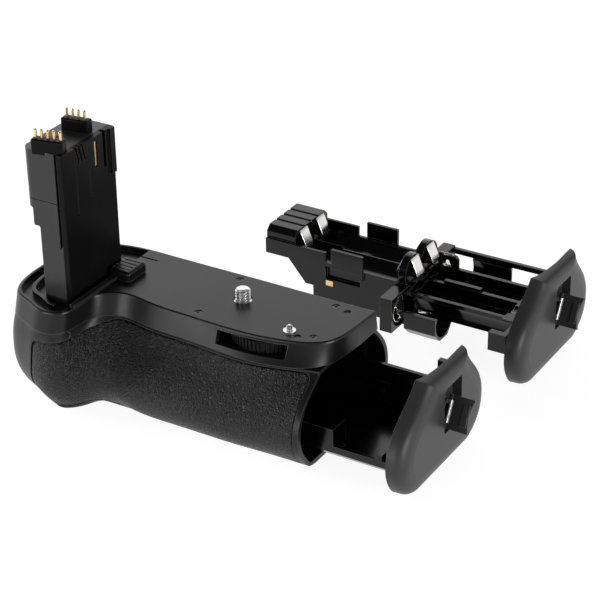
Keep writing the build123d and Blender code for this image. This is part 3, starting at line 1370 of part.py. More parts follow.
def aa_body(right):
    """The AA tray's long middle body with its flaps, its front notch and its hollows."""
    front = AA_MIDDLE_Y - AA_BODY_HALF
    back = AA_MIDDLE_Y + AA_BODY_HALF
    body = prism_y(aa_side_profile(right), front, back) + aa_block()
    start = -AA_FLAP_START
    end = start + AA_FLAP_LENGTH
    body += block(start, end, back, back + AA_FLAP_WALL, -AA_FLAP_LOW_Z, -AA_FLAP_REAR_TOP)
    body += block(start, end, front - AA_FLAP_WALL, front, -AA_FLAP_LOW_Z, -AA_FLAP_FRONT_TOP)
    notch = AA_NOTCH_LEFT, AA_NOTCH_RIGHT, front - OVERRUN, front + AA_WALL
    body -= block(*notch, -AA_NOTCH_LOW_Z, -AA_NOTCH_TOP_Z)
    wall = AA_HOLLOW_WALL
    foot = -AA_BLOCK_LEFT + AA_SLOPE_START + AA_SLOPE_RUN + AA_FLAT_RUN
    low = -AA_BOTTOM_Z - OVERRUN
    body -= block(foot + wall, AA_FOOT_END - wall, front + wall, back - wall, low, -AA_HOLLOW_Z)
    for inner, outer in ((front + AA_WALL, -AA_WALL / 2), (AA_WALL / 2, back - AA_WALL)):
        body -= block(AA_POCKET_X, AA_END_X - AA_HOLLOW_WALL, inner, outer, -AA_POCKET_Z, -AA_CROWN_Z)
    return body


def aa_outriggers():
    """What holds the two low cells beside the body: box, cradles, tab, rail and end wall."""
    front = AA_MIDDLE_Y - AA_MID_HALF
    back = AA_MIDDLE_Y + AA_MID_HALF
    end = AA_END_X + AA_END_WALL
    frame = block(-AA_BOX_LEFT, AA_BOX_RIGHT, front, back, -AA_BOX_LOW_Z, -AA_BOX_TOP_Z)
    frame += block(AA_CHEEK_X, end, front, back, -AA_CHEEK_LOW_Z, -AA_RAIL_Z)
    frame += block(AA_BOX_RIGHT, end, back - AA_WALL, back, -AA_SIDE_RAIL_LOW_Z, -AA_SIDE_RAIL_TOP_Z)
    frame += block(AA_TAB_LEFT, AA_TAB_RIGHT, back - AA_FLAP_WALL, back, -AA_TAB_LOW_Z, -AA_SIDE_RAIL_TOP_Z)
    for side, left, right in ((-1, AA_CRADLE_LEFT, AA_CRADLE_RIGHT), (1, AA_TAB_LEFT, AA_TAB_RIGHT)):
        corners = [(AA_MIDDLE_Y + side * y, -z) for y, z in AA_CRADLE]
        frame += prism_x(corners, left, right)
    return frame


def aa_frame():
    """The AA tray's moulded frame, with room for four cells above and two beside its body."""
    right = CAP_RIM_X + CAP_HOLLOW
    mid_left = -AA_MID_LEFT
    mid_right = mid_left + AA_MID_LENGTH
    spine = block(
        AA_SPINE_LEFT, AA_SPINE_RIGHT, AA_SPINE_FRONT, AA_SPINE_BACK, -AA_SPINE_LOW_Z, -AA_SPINE_TOP_Z
    )
    frame = aa_body(right) + aa_outriggers() + spine
    reach = CELL_RADIUS + CELL_GAP
    block_right = -AA_BLOCK_LEFT + AA_BLOCK_LENGTH
    half = AA_UPPER_PITCH / 2
    frame -= block(block_right, mid_left, AA_MIDDLE_Y - half, AA_MIDDLE_Y + half, -AA_UPPER_Z, 0)
    for side in (-1, 1):
        y = aa_row_y(AA_UPPER_PITCH, side)
        frame -= rod_x(block_right, mid_left, y, -AA_UPPER_Z, reach)
        frame -= rod_x(mid_right, AA_END_X, y, -AA_UPPER_Z, reach)
        frame += rod_x(mid_left, mid_right, y, -AA_UPPER_Z, AA_ARCH_RADIUS)
        lower = aa_row_y(AA_LOWER_PITCH, side)
        frame -= rod_x(-AA_LOWER_X, AA_END_X, lower, -AA_LOWER_Z, reach)
    front = AA_MIDDLE_Y - AA_MID_HALF - OVERRUN
    back = AA_MIDDLE_Y + AA_MID_HALF + OVERRUN
    clear = CAP_RIM_X - CAM_THICK
    inside = block(-AA_BLOCK_LEFT - OVERRUN, clear, front, back, -AA_BOTTOM_Z, 0)
    inside += extrude(cap_section(clear, CAP_WALL + SLIDE_GAP), amount=CAM_THICK + CAP_HOLLOW)
    frame &= inside
    frame -= rod_x(clear, right, LATCH_Y, LATCH_Z, CAM_LENGTH + CAM_WIDTH / 2)
    return AA_PLACE * frame


def leaf(x, y, z, facing):
    """A bent contact leaf against an upright face, facing along plus or minus X."""
    bend = facing * CONTACT_BEND
    thick = facing * CONTACT_THICK
    half = CONTACT_HEIGHT / 2
    knee = z - half / 2
    outline = [(x, z + half), (x + bend, knee), (x, z - half)]
    outline += [(x + thick, z - half), (x + bend + thick, knee), (x + thick, z + half)]
    return prism_y(outline, y - CONTACT_WIDTH / 2, y + CONTACT_WIDTH / 2)


def aa_contacts():
    """Nickel leaves at the ends of each cell, grouped by the block that carries them."""
    left = -AA_BLOCK_LEFT + AA_BLOCK_LENGTH
    mid_left = -AA_MID_LEFT
    mid_right = mid_left + AA_MID_LENGTH
    upper = [aa_row_y(AA_UPPER_PITCH, side) for side in (-1, 1)]
    lower = [aa_row_y(AA_LOWER_PITCH, side) for side in (-1, 1)]
    block_leaves = [leaf(left, y, -AA_UPPER_Z, 1) for y in upper]
    mid_leaves = [leaf(mid_right, y, -AA_UPPER_Z, 1) for y in upper]
    mid_leaves += [leaf(mid_left, y, -AA_UPPER_Z, -1) for y in upper]
    low_leaves = [leaf(-AA_LOWER_X, y, -AA_LOWER_Z, 1) for y in lower]
    return [[AA_PLACE * one for one in group] for group in (block_leaves, mid_leaves, low_leaves)]


def aa_strip():
    """The gold strip on the AA tray's front, beside the body's step."""
    front = AA_MIDDLE_Y - AA_BODY_HALF
    right = AA_STRIP_X + AA_STRIP_LENGTH
    low = -AA_STRIP_Z - AA_STRIP_HEIGHT
    return AA_PLACE * block(AA_STRIP_X, right, front - CONTACT_THICK, front, low, -AA_STRIP_Z)


def group(shapes):
    """Several separate solids as one node."""
    return Compound(children=list(shapes)) if len(shapes) > 1 else shapes[0]


def build():
    """Makes every piece and writes its file."""
    os.makedirs("parts", exist_ok=True)
    outer = grip_form(0)
    skin = skin_layer(outer, SKIN)
    panel = end_panel(outer)
    body = grip_housing(outer - skin_layer(outer, SKIN) - panel)
    for cut in control_cuts():
        panel -= cut
    save(body, "grip_housing")
    save(skin, "rubber_skin")
    save(panel, "end_panel")
    save(top_cover(), "top_cover")
    save(group(seat_screws()), "seat_screws")
    save(tower_shell(), "tower_shell")
    save(tower_side(), "tower_side_plate")
    save(tower_strip(), "tower_contact_strip")
    save(foot_rail(), "tower_foot_rail")
    for name, place, turn, length, count in (
        ("front", FRONT_BLOCK_PLACE, FRONT_BLOCK_TURN, FRONT_BLOCK_LENGTH, FRONT_PIN_COUNT),
        ("rear", REAR_BLOCK_PLACE, REAR_BLOCK_TURN, REAR_BLOCK_LENGTH, REAR_PIN_COUNT),
    ):
        save(contact_block(place, turn, length, count), name + "_contact_block")
        save(group(contact_pins(place, turn, count)), name + "_contact_pins")
    save(locating_pin(), "locating_pin")
    save(thumbwheel(), "thumbwheel")
    save(wheel_axle(), "thumbwheel_axle")
    save(camera_screw(), "camera_screw")
    save(tripod_socket(), "tripod_socket")
    save(group(base_screws()), "base_screws")
    save(shutter_bezel(), "shutter_bezel")
    save(shutter_button(), "shutter_button")
    save(main_dial(), "main_dial")
    save(dial_axle(), "dial_axle")
    for x, name in zip(key_places(), ("af_start_button", "ae_lock_button", "af_point_button")):
        save(back_key(x), name)
    save(power_switch(), "power_switch")
    save(group(bay_contacts()), "bay_contacts")
    save(tray_frame(), "pack_tray")
    save(group(tray_strips()), "pack_tray_contacts")
    for place, name in ((TRAY_PLACE, "pack_tray"), (AA_PLACE, "aa_tray")):
        save(place * end_cap(), name + "_cap")
        save(place * latch_frame() * latch_rotor(), name + "_latch")
        save(place * latch_frame() * hinge_pin(), name + "_hinge_pin")
        save(place * latch_frame() * latch_lever(), name + "_lever")
    save(aa_frame(), "aa_tray")
    for leaves, name in zip(aa_contacts(), ("aa_block_contacts", "aa_middle_contacts", "aa_lower_contacts")):
        save(group(leaves), name)
    save(aa_strip(), "aa_tray_contact_strip")


build()
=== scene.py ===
import math

import bpy
import numpy as np
from mathutils import Matrix, Vector


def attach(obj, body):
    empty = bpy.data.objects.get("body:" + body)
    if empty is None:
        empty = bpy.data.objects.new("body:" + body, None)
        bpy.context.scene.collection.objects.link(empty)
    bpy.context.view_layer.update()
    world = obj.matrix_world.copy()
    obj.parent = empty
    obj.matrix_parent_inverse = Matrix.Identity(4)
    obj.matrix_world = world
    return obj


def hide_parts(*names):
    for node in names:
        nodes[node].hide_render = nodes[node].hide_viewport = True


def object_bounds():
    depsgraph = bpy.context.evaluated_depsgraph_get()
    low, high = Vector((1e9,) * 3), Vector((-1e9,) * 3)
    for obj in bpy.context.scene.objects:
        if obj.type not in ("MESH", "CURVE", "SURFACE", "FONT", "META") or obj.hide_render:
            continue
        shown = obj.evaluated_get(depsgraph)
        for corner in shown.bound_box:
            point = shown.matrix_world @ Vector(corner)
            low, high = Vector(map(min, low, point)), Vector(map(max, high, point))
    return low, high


# Camera battery grip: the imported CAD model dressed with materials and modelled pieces.
# Everything is in metres in the CAD's frame: X along the grip, Y to its back, Z up.

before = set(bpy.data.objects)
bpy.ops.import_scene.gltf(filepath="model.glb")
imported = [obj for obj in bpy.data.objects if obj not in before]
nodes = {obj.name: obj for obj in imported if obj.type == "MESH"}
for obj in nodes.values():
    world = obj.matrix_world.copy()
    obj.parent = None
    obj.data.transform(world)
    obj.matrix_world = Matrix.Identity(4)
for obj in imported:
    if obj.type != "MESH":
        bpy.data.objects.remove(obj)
cadBox = [list(corner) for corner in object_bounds()]
mm = 0.001
print("frame loaded:", len(nodes), "nodes")


# camera and stage

cameraView = {
    "azimuth": 31.37,      # degrees round from the grip's front
    "elevation": 28.73,
    "roll": -0.89,
    "distance": 823 * mm,  # to the camera screw's foot
    "focal": 2000.0,       # in pixels
    "target": (243, 299),  # pixel of the camera screw's foot
    "picture": 600,        # the picture's width and height in pixels
    "sensor": 36.0,
    "clip": (0.01, 20.0),
}


def makeCamera(view):
    # the rows are the picture's right, its up and the way back from the object
    azimuth, elevation, roll = (math.radians(view[key]) for key in ("azimuth", "elevation", "roll"))
    forward = np.array([-math.sin(azimuth) * math.cos(elevation),
                        math.cos(azimuth) * math.cos(elevation), -math.sin(elevation)])
    right = np.array([math.cos(azimuth), math.sin(azimuth), 0.0])
    up = np.cross(right, forward)
    turnedRight = math.cos(roll) * right + math.sin(roll) * up
    turnedUp = math.cos(roll) * up - math.sin(roll) * right
    across, down = ((pixel - view["picture"] / 2) / view["focal"] for pixel in view["target"])
    place = -view["distance"] * (across * turnedRight - down * turnedUp + forward)
    data = bpy.data.cameras.new("photoCamera")
    data.sensor_width = view["sensor"]
    data.lens = view["sensor"] * view["focal"] / view["picture"]
    data.clip_start, data.clip_end = view["clip"]
    camera = bpy.data.objects.new("photoCamera", data)
    turn = Matrix((turnedRight, turnedUp, -forward)).transposed().to_4x4()
    camera.matrix_world = Matrix.Translation(Vector(place)) @ turn
    bpy.context.scene.collection.objects.link(camera)
    bpy.context.scene.camera = camera


makeCamera(cameraView)

studio = {
    "worldStrength": 0.30,
    "skyShares": ((0.10, 1.0), (0.42, 0.05)),   # height of a direction, 1 overhead, and its white
    "floorGrey": 0.35,
    "floorWhite": 0.92,    # white added to the floor where it is seen, so that the shadow stays soft
    "floorSize": 3.0,
    "floorRough": 0.9,
    "floorSpecular": 0.1,
    # name, place, aim, width, height, watts
    "lamps": (
        ("backSoftbox", (-0.62, 1.15, 0.75), (0.0, 0.0, 0.0), 2.4, 1.1, 11.0),
        ("frontSoftbox", (-0.45, -1.20, 0.10), (0.0, 0.0, -0.02), 0.9, 0.2, 4.5),
        ("rightSoftbox", (1.10, -0.25, 0.12), (0.05, 0.0, -0.02), 0.5, 0.3, 6.0),
        ("leftStrip", (-1.00, -0.35, 0.25), (-0.05, 0.0, 0.0), 0.25, 0.7, 4.0),
    ),
}


def seenShare(tree, share):
    # the share for rays that come from the camera, a mirror or glass, and 0 for the rest
    path = tree.nodes.new("ShaderNodeLightPath")
    total = path.outputs["Is Camera Ray"]
    for ray in ("Is Glossy Ray", "Is Transmission Ray"):
        add = tree.nodes.new("ShaderNodeMath")
        add.operation, add.use_clamp = "ADD", True
        tree.links.new(total, add.inputs[0])
        tree.links.new(path.outputs[ray], add.inputs[1])
        total = add.outputs[0]
    scale = tree.nodes.new("ShaderNodeMath")
    scale.operation = "MULTIPLY"
    tree.links.new(total, scale.inputs[0])
    scale.inputs[1].default_value = share
    return scale.outputs[0]


def makeWorld(look):
    # plain white to the camera; reflections and light fade from the white backdrop to a dark ceiling
    world = bpy.data.worlds.new("studioWorld")
    bpy.context.scene.world = world
    world.use_nodes = True
    tree = world.node_tree
    tree.nodes.clear()
    output = tree.nodes.new("ShaderNodeOutputWorld")
    way = tree.nodes.new("ShaderNodeTexCoord")
    split = tree.nodes.new("ShaderNodeSeparateXYZ")
    sky = tree.nodes.new("ShaderNodeMapRange")
    (low, lowWhite), (high, highWhite) = look["skyShares"]
    limits = {"From Min": low, "From Max": high, "To Min": lowWhite, "To Max": highWhite}
    for socket, value in limits.items():
        sky.inputs[socket].default_value = value
    tree.links.new(way.outputs["Generated"], split.inputs[0])
    tree.links.new(split.outputs["Z"], sky.inputs["Value"])
    # the sky as light, the sky as mirrors and glass show it, and plain white for the camera
    kinds = []
    for strength in (look["worldStrength"], 1.0, 1.0):
        kinds.append(tree.nodes.new("ShaderNodeBackground"))
        kinds[-1].inputs["Strength"].default_value = strength
    for shader in kinds[:2]:
        tree.links.new(sky.outputs["Result"], shader.inputs["Color"])
    kinds[2].inputs["Color"].default_value = (1, 1, 1, 1)
    path = tree.nodes.new("ShaderNodeLightPath")
    mirrored, surface = seenShare(tree, 1.0), kinds[0].outputs[0]
    for factor, shader in ((mirrored, kinds[1]), (path.outputs["Is Camera Ray"], kinds[2])):
        mix = tree.nodes.new("ShaderNodeMixShader")
        tree.links.new(factor, mix.inputs[0])
        tree.links.new(surface, mix.inputs[1])
        tree.links.new(shader.outputs[0], mix.inputs[2])
        surface = mix.outputs[0]
    tree.links.new(surface, output.inputs["Surface"])


def makeLamp(name, place, aim, width, height, watts):
    # a soft rectangle of light, turned to face its aim
    data = bpy.data.lights.new(name, "AREA")
    data.shape, data.size, data.size_y, data.energy = "RECTANGLE", width, height, watts
    lamp = bpy.data.objects.new(name, data)
    lamp.location = place
    lamp.rotation_euler = (Vector(aim) - Vector(place)).to_track_quat("-Z", "Y").to_euler()
    lamp.visible_camera = False
    bpy.context.scene.collection.objects.link(lamp)


def makeFloor(look):
    # a flat sheet under the grip: lit grey paper, with white added where it is seen
    size, low = look["floorSize"], cadBox[0][2]
    mesh = bpy.data.meshes.new("studioFloor")
    corners = [(-size, -size, low), (size, -size, low), (size, size, low), (-size, size, low)]
    mesh.from_pydata(corners, [], [(0, 1, 2, 3)])
    floor = bpy.data.objects.new("studioFloor", mesh)
    bpy.context.scene.collection.objects.link(floor)
    paint = bpy.data.materials.new("studioPaper")
    paint.use_nodes = True
    tree = paint.node_tree
    shader = tree.nodes["Principled BSDF"]
    shader.inputs["Base Color"].default_value = (look["floorGrey"],) * 3 + (1,)
    shader.inputs["Roughness"].default_value = look["floorRough"]
    shader.inputs["Specular IOR Level"].default_value = look["floorSpecular"]
    white = tree.nodes.new("ShaderNodeEmission")
    both = tree.nodes.new("ShaderNodeAddShader")
    tree.links.new(seenShare(tree, look["floorWhite"]), white.inputs["Strength"])
    tree.links.new(shader.outputs[0], both.inputs[0])
    tree.links.new(white.outputs[0], both.inputs[1])
    tree.links.new(both.outputs[0], tree.nodes["Material Output"].inputs["Surface"])
    mesh.materials.append(paint)


makeWorld(studio)
for lamp in studio["lamps"]:
    makeLamp(*lamp)
makeFloor(studio)
print("camera, lamps and floor placed")


# shader groups

def addNode(tree, kind, place=(0, 0), **settings):
    # a setting goes to the socket of its name, or else to the node itself
    node = tree.nodes.new("ShaderNode" + kind)
    node.location = place
    for name, value in settings.items():
        if name in node.inputs:
            node.inputs[name].default_value = value
        else:
            setattr(node, name, value)
    return node


def startGroup(name, inputs, outputs):
    # a shader group with float inputs as (name, value), and outputs as (name, kind)
    group = bpy.data.node_groups.new(name, "ShaderNodeTree")
    for socket, value in inputs:
        made = group.interface.new_socket(name=socket, in_out="INPUT", socket_type="NodeSocketFloat")
        made.default_value = value
    for socket, kind in outputs:
        group.interface.new_socket(name=socket, in_out="OUTPUT", socket_type="NodeSocket" + kind)
    given, made = group.nodes.new("NodeGroupInput"), group.nodes.new("NodeGroupOutput")
    given.location, made.location = (-900, 0), (600, 0)
    return group, given, made


def mathNode(tree, operation, first, second, place=(0, 0)):
    # a value or a socket may stand on either side
    node = tree.nodes.new("ShaderNodeMath")
    node.operation, node.location = operation, place
    for socket, value in zip(node.inputs, (first, second)):
        if hasattr(value, "links"):
            tree.links.new(value, socket)
        else:
            socket.default_value = value
    return node.outputs[0]


def makeMouldGrain():
    # fine spark-eroded grain of moulded plastic, with a slow change of shade
    group, given, made = startGroup("mouldGrain", [("Grain Size", 0.3), ("Shade Size", 20.0)],
                                    [("Height", "Float"), ("Shade", "Float")])
    place = addNode(group, "TexCoord", (-900, -300)).outputs["Object"]
    perMetre = mathNode(group, "DIVIDE", 1000.0, given.outputs["Grain Size"], (-700, 100))
    slow = mathNode(group, "DIVIDE", 1000.0, given.outputs["Shade Size"], (-700, -100))
    fine = addNode(group, "TexNoise", (-400, 200), Detail=2.0, Roughness=0.6)
    broad = addNode(group, "TexNoise", (-400, -100), Detail=3.0, Roughness=0.55)
    for texture, scale in ((fine, perMetre), (broad, slow)):
        group.links.new(place, texture.inputs["Vector"])
        group.links.new(scale, texture.inputs["Scale"])
    group.links.new(fine.outputs["Fac"], made.inputs["Height"])
    group.links.new(broad.outputs["Fac"], made.inputs["Shade"])
    return group


leatherWarp = {"scale": 900.0, "reach": 0.5 * mm}   # noise per metre, and how far it moves the pebbles


def makeLeatherGrain(warping):
    # small rounded pebbles with creases between them: a cell's dome times its distance from the edge
    group, given, made = startGroup("leatherGrain", [("Pebble Size", 0.9), ("Crease", 0.5)],
                                    [("Height", "Float"), ("Crease Mask", "Float")])
    place = addNode(group, "TexCoord", (-1100, -300)).outputs["Object"]
    warp = addNode(group, "TexNoise", (-1100, 0), Scale=warping["scale"], Detail=1.0)
    group.links.new(place, warp.inputs["Vector"])
    perMetre = mathNode(group, "DIVIDE", 1000.0, given.outputs["Pebble Size"], (-900, 200))
    nudge = addNode(group, "VectorMath", (-850, -100), operation="SCALE", Scale=warping["reach"])
    group.links.new(warp.outputs["Color"], nudge.inputs[0])
    moved = addNode(group, "VectorMath", (-650, -200), operation="ADD")
    group.links.new(place, moved.inputs[0])
    group.links.new(nudge.outputs[0], moved.inputs[1])
    cells = addNode(group, "TexVoronoi", (-400, 200), feature="F1", Randomness=1.0)
    lines = addNode(group, "TexVoronoi", (-400, -100), feature="DISTANCE_TO_EDGE", Randomness=1.0)
    for texture in (cells, lines):
        group.links.new(moved.outputs[0], texture.inputs["Vector"])
        group.links.new(perMetre, texture.inputs["Scale"])
    crease = mathNode(group, "DIVIDE", lines.outputs["Distance"], given.outputs["Crease"], (-150, -100))
    crease = mathNode(group, "MINIMUM", crease, 1.0, (0, -100))
    dome = mathNode(group, "SUBTRACT", 1.0, cells.outputs["Distance"], (-150, 200))
    height = mathNode(group, "MULTIPLY", dome, crease, (150, 100))
    group.links.new(height, made.inputs["Height"])
    group.links.new(mathNode(group, "SUBTRACT", 1.0, crease, (150, -150)), made.inputs["Crease Mask"])
    return group


def makeEdgeHighlightAndBevel():
    # 1 along edges, where the rounded normal leaves the face's own, and 0 on faces; the plastics paint a
    # highlight along edges with this mask
    group, given, made = startGroup("edgeHighlightAndBevel", [("Width", 0.3), ("Spread", 2.0)],
                                    [("Mask", "Float"), ("Normal", "Vector")])
    radius = mathNode(group, "MULTIPLY", given.outputs["Width"], mm, (-700, 0))
    bevel = addNode(group, "Bevel", (-500, 0), samples=6)
    group.links.new(radius, bevel.inputs["Radius"])
    flat = addNode(group, "NewGeometry", (-500, -250))
    dot = addNode(group, "VectorMath", (-250, 0), operation="DOT_PRODUCT")
    group.links.new(bevel.outputs[0], dot.inputs[0])
    group.links.new(flat.outputs["Normal"], dot.inputs[1])
    away = mathNode(group, "SUBTRACT", 1.0, dot.outputs["Value"], (-50, 0))
    mask = mathNode(group, "MULTIPLY", away, given.outputs["Spread"], (150, 0))
    group.links.new(mathNode(group, "MINIMUM", mask, 1.0, (300, 0)), made.inputs["Mask"])
    group.links.new(bevel.outputs[0], made.inputs["Normal"])
    return group


mouldGrain = makeMouldGrain()
leatherGrain = makeLeatherGrain(leatherWarp)
edgeHighlightAndBevel = makeEdgeHighlightAndBevel()


# materials

def startMaterial(name, metal=0.0):
    material = bpy.data.materials.new(name)
    material.use_nodes = True
    shader = material.node_tree.nodes["Principled BSDF"]
    shader.inputs["Metallic"].default_value = metal
    return material, material.node_tree, shader


def placeGroup(tree, group, place, *values):
    # the values go to the group's inputs in their order
    node = tree.nodes.new("ShaderNodeGroup")
    node.node_tree, node.location = group, place
    for socket, value in zip(node.inputs, values):
        socket.default_value = value
    return node


shadeSpan = (0.3, 0.7)      # the part of the slow noise that goes from the dark tone to the pale one
plasticHighlightSpread = 3.0     # how far the painted edge highlight reaches in from an edge


def shadeRamp(tree, shade, dark, pale):
    ramp = tree.nodes.new("ShaderNodeValToRGB")
    ramp.location = (-450, 200)
    for element, where, colour in zip(ramp.color_ramp.elements, shadeSpan, (dark, pale)):
        element.position = where
        element.color = (*colour, 1)
    tree.links.new(shade, ramp.inputs[0])
    return ramp.outputs["Color"]


def grey(value):
    return (value, value, value)


def mixColour(tree, factor, first, second):
    # second covers first by the factor
    node = tree.nodes.new("ShaderNodeMix")
    node.data_type, node.location = "RGBA", (-200, 200)
    tree.links.new(factor, node.inputs["Factor"])
    for socket, value in ((node.inputs[6], first), (node.inputs[7], second)):
        if hasattr(value, "links"):
            tree.links.new(value, socket)
        else:
            socket.default_value = (*value, 1)
    return node.outputs[2]


def roughAndBump(tree, shader, look, spread, height, normal=None):
    # roughness goes up with the spread mask, and the grain's height stands on the rounded normal
    rough = mathNode(tree, "MULTIPLY_ADD", spread, look["roughSpread"], (-200, -50))
    rough.node.inputs[2].default_value = look["rough"]
    tree.links.new(rough, shader.inputs["Roughness"])
    bump = addNode(tree, "Bump", (-200, -250), Strength=look["bump"], Distance=look["depth"] * mm)
    tree.links.new(height, bump.inputs["Height"])
    if normal:
        tree.links.new(normal, bump.inputs["Normal"])
    tree.links.new(bump.outputs[0], shader.inputs["Normal"])


def makePlastic(name, look):
    # moulded plastic: grain, slow shade, and paler edges, which are a painted highlight
    material, tree, shader = startMaterial(name)
    grain = placeGroup(tree, mouldGrain, (-700, 0), look["grain"], look["patch"])
    edgeHighlight = placeGroup(tree, edgeHighlightAndBevel, (-700, -300), look["edge"], plasticHighlightSpread)
    base = shadeRamp(tree, grain.outputs["Shade"], grey(look["dark"]), grey(look["pale"]))
    # the pale edge tone is a painted highlight along every edge
    tone = mixColour(tree, edgeHighlight.outputs["Mask"], base, grey(look["edgeHighlightTone"]))
    tree.links.new(tone, shader.inputs["Base Color"])
    roughAndBump(tree, shader, look, grain.outputs["Shade"], grain.outputs["Height"], edgeHighlight.outputs["Normal"])
    shader.inputs["Specular IOR Level"].default_value = look["specular"]
    return material


def makeLeather(name, look):
    # leather-look rubber: pebbles, creases darkened with painted shade, and a soft sheen
    material, tree, shader = startMaterial(name)
    grain = placeGroup(tree, leatherGrain, (-700, 0), look["pebble"], look["crease"])
    slow = placeGroup(tree, mouldGrain, (-700, -300), look["speck"], look["patch"])
    crease = grain.outputs["Crease Mask"]
    base = shadeRamp(tree, slow.outputs["Shade"], grey(look["dark"]), grey(look["pale"]))
    # the darker crease tone is painted shade in the creases between the pebbles
    tone = mixColour(tree, crease, base, grey(look["paintedCreaseShade"]))
    tree.links.new(tone, shader.inputs["Base Color"])
    roughAndBump(tree, shader, look, crease, grain.outputs["Height"])
    shader.inputs["Specular IOR Level"].default_value = look["specular"]
    return material


def makeMetal(name, look):
    # plated or turned metal with fine streaks and smudges
    material, tree, shader = startMaterial(name, 1.0)
    grain = placeGroup(tree, mouldGrain, (-700, 0), look["grain"], look["patch"])
    edgeHighlight = placeGroup(tree, edgeHighlightAndBevel, (-700, -300), look["edge"])
    base = shadeRamp(tree, grain.outputs["Shade"], look["dark"], look["pale"])
    tree.links.new(base, shader.inputs["Base Color"])
    height = grain.outputs["Height"]
    roughAndBump(tree, shader, look, height, height, edgeHighlight.outputs["Normal"])
    return material


# tones are shares of white; grain, patch and edge are in mm, and so is the depth of the bump
# the pale edge tone of each plastic is a painted highlight along its edges
plasticLooks = {
    "coverSatin": {"dark": 0.007, "pale": 0.009, "edgeHighlightTone": 0.300, "grain": 0.14, "patch": 45.0, "edge": 0.30,
                   "rough": 0.27, "roughSpread": 0.08, "bump": 0.20, "depth": 0.03, "specular": 0.28},
    "matteHousing": {"dark": 0.008, "pale": 0.011, "edgeHighlightTone": 0.180, "grain": 0.16, "patch": 45.0, "edge": 0.35,
                     "rough": 0.34, "roughSpread": 0.10, "bump": 0.25, "depth": 0.03, "specular": 0.30},
    "capSatin": {"dark": 0.040, "pale": 0.048, "edgeHighlightTone": 0.250, "grain": 0.15, "patch": 35.0, "edge": 0.30,
                 "rough": 0.38, "roughSpread": 0.10, "bump": 0.22, "depth": 0.03, "specular": 0.35},
    "towerSatin": {"dark": 0.005, "pale": 0.008, "edgeHighlightTone": 0.150, "grain": 0.25, "patch": 30.0, "edge": 0.22,
                   "rough": 0.26, "roughSpread": 0.10, "bump": 0.10, "depth": 0.03, "specular": 0.08},
    # a paler copy of the tower's black: painted light on the tower shell's faces turned to the light
    "towerFrontPaintedLight": {"dark": 0.045, "pale": 0.052, "edgeHighlightTone": 0.200, "grain": 0.25, "patch": 30.0, "edge": 0.25,
                   "rough": 0.30, "roughSpread": 0.10, "bump": 0.12, "depth": 0.03, "specular": 0.30},
    "trayGloss": {"dark": 0.004, "pale": 0.007, "edgeHighlightTone": 0.300, "grain": 0.6, "patch": 25.0, "edge": 0.35,
                  "rough": 0.13, "roughSpread": 0.08, "bump": 0.05, "depth": 0.03, "specular": 0.35},
    "softBlack": {"dark": 0.010, "pale": 0.014, "edgeHighlightTone": 0.020, "grain": 0.2, "patch": 12.0, "edge": 0.2,
                  "rough": 0.55, "roughSpread": 0.15, "bump": 0.3, "depth": 0.03, "specular": 0.35},
    "screwBlack": {"dark": 0.012, "pale": 0.020, "edgeHighlightTone": 0.16, "grain": 0.2, "patch": 4.0, "edge": 0.12,
                   "rough": 0.30, "roughSpread": 0.10, "bump": 0.1, "depth": 0.02, "specular": 0.6},
}
# the crease tone is painted shade in the creases between pebbles
leatherLook = {"dark": 0.005, "pale": 0.007, "paintedCreaseShade": 0.002, "pebble": 0.95, "crease": 0.30,
               "speck": 0.2, "patch": 30.0, "rough": 0.26, "roughSpread": 0.35, "bump": 1.0, "depth": 0.38,
               "specular": 0.40}
metalLooks = {
    "brightSteel": {"dark": (0.62, 0.62, 0.63), "pale": (0.80, 0.80, 0.80), "grain": 0.12, "patch": 6.0,
                    "rough": 0.26, "roughSpread": 0.14, "bump": 0.2, "edge": 0.12, "depth": 0.02},
    "nickelLeaf": {"dark": (0.70, 0.69, 0.66), "pale": (0.86, 0.85, 0.82), "grain": 0.3, "patch": 5.0,
                   "rough": 0.16, "roughSpread": 0.12, "bump": 0.15, "edge": 0.15, "depth": 0.02},
    "goldFlash": {"dark": (0.72, 0.48, 0.20), "pale": (0.88, 0.66, 0.34), "grain": 0.2, "patch": 4.0,
                  "rough": 0.20, "roughSpread": 0.12, "bump": 0.1, "edge": 0.1, "depth": 0.02},
}
finishes = {name: makePlastic(name, look) for name, look in plasticLooks.items()}
finishes.update({name: makeMetal(name, look) for name, look in metalLooks.items()})
finishes["leatherRubber"] = makeLeather("leatherRubber", leatherLook)
print("materials made:", len(finishes))

nodeFinishes = {
    "coverSatin": ("top_cover",),
    "matteHousing": ("grip_housing", "end_panel", "shutter_bezel"),
    "capSatin": ("pack_tray_cap", "pack_tray_lever", "aa_tray_cap", "aa_tray_lever"),
    # the tower shell gets the paler copy of the tower's black, which is painted light
    "towerFrontPaintedLight": ("tower_shell",),
    "leatherRubber": ("rubber_skin",),
    "towerSatin": ("tower_side_plate", "front_contact_block", "rear_contact_block", "thumbwheel",
                   "main_dial", "power_switch", "pack_tray_latch", "aa_tray_latch"),
    "trayGloss": ("pack_tray", "aa_tray", "shutter_button", "af_start_button", "ae_lock_button",
                  "af_point_button"),
    "softBlack": ("tower_foot_rail",),
    "screwBlack": ("seat_screws", "base_screws"),
    "brightSteel": ("camera_screw", "locating_pin", "thumbwheel_axle", "tripod_socket", "dial_axle",
                    "pack_tray_hinge_pin", "aa_tray_hinge_pin"),
    "nickelLeaf": ("aa_block_contacts", "aa_middle_contacts", "aa_lower_contacts"),
    "goldFlash": ("tower_contact_strip", "front_contact_pins", "rear_contact_pins", "bay_contacts",
                  "pack_tray_contacts", "aa_tray_contact_strip"),
}


def dressNodes(table):
    # every slot of a node gets its finish
    for finish, names in table.items():
        for name in names:
            for slot in nodes[name].material_slots:
                slot.material = finishes[finish]


dressNodes(nodeFinishes)
print("CAD nodes dressed")


# mesh helpers

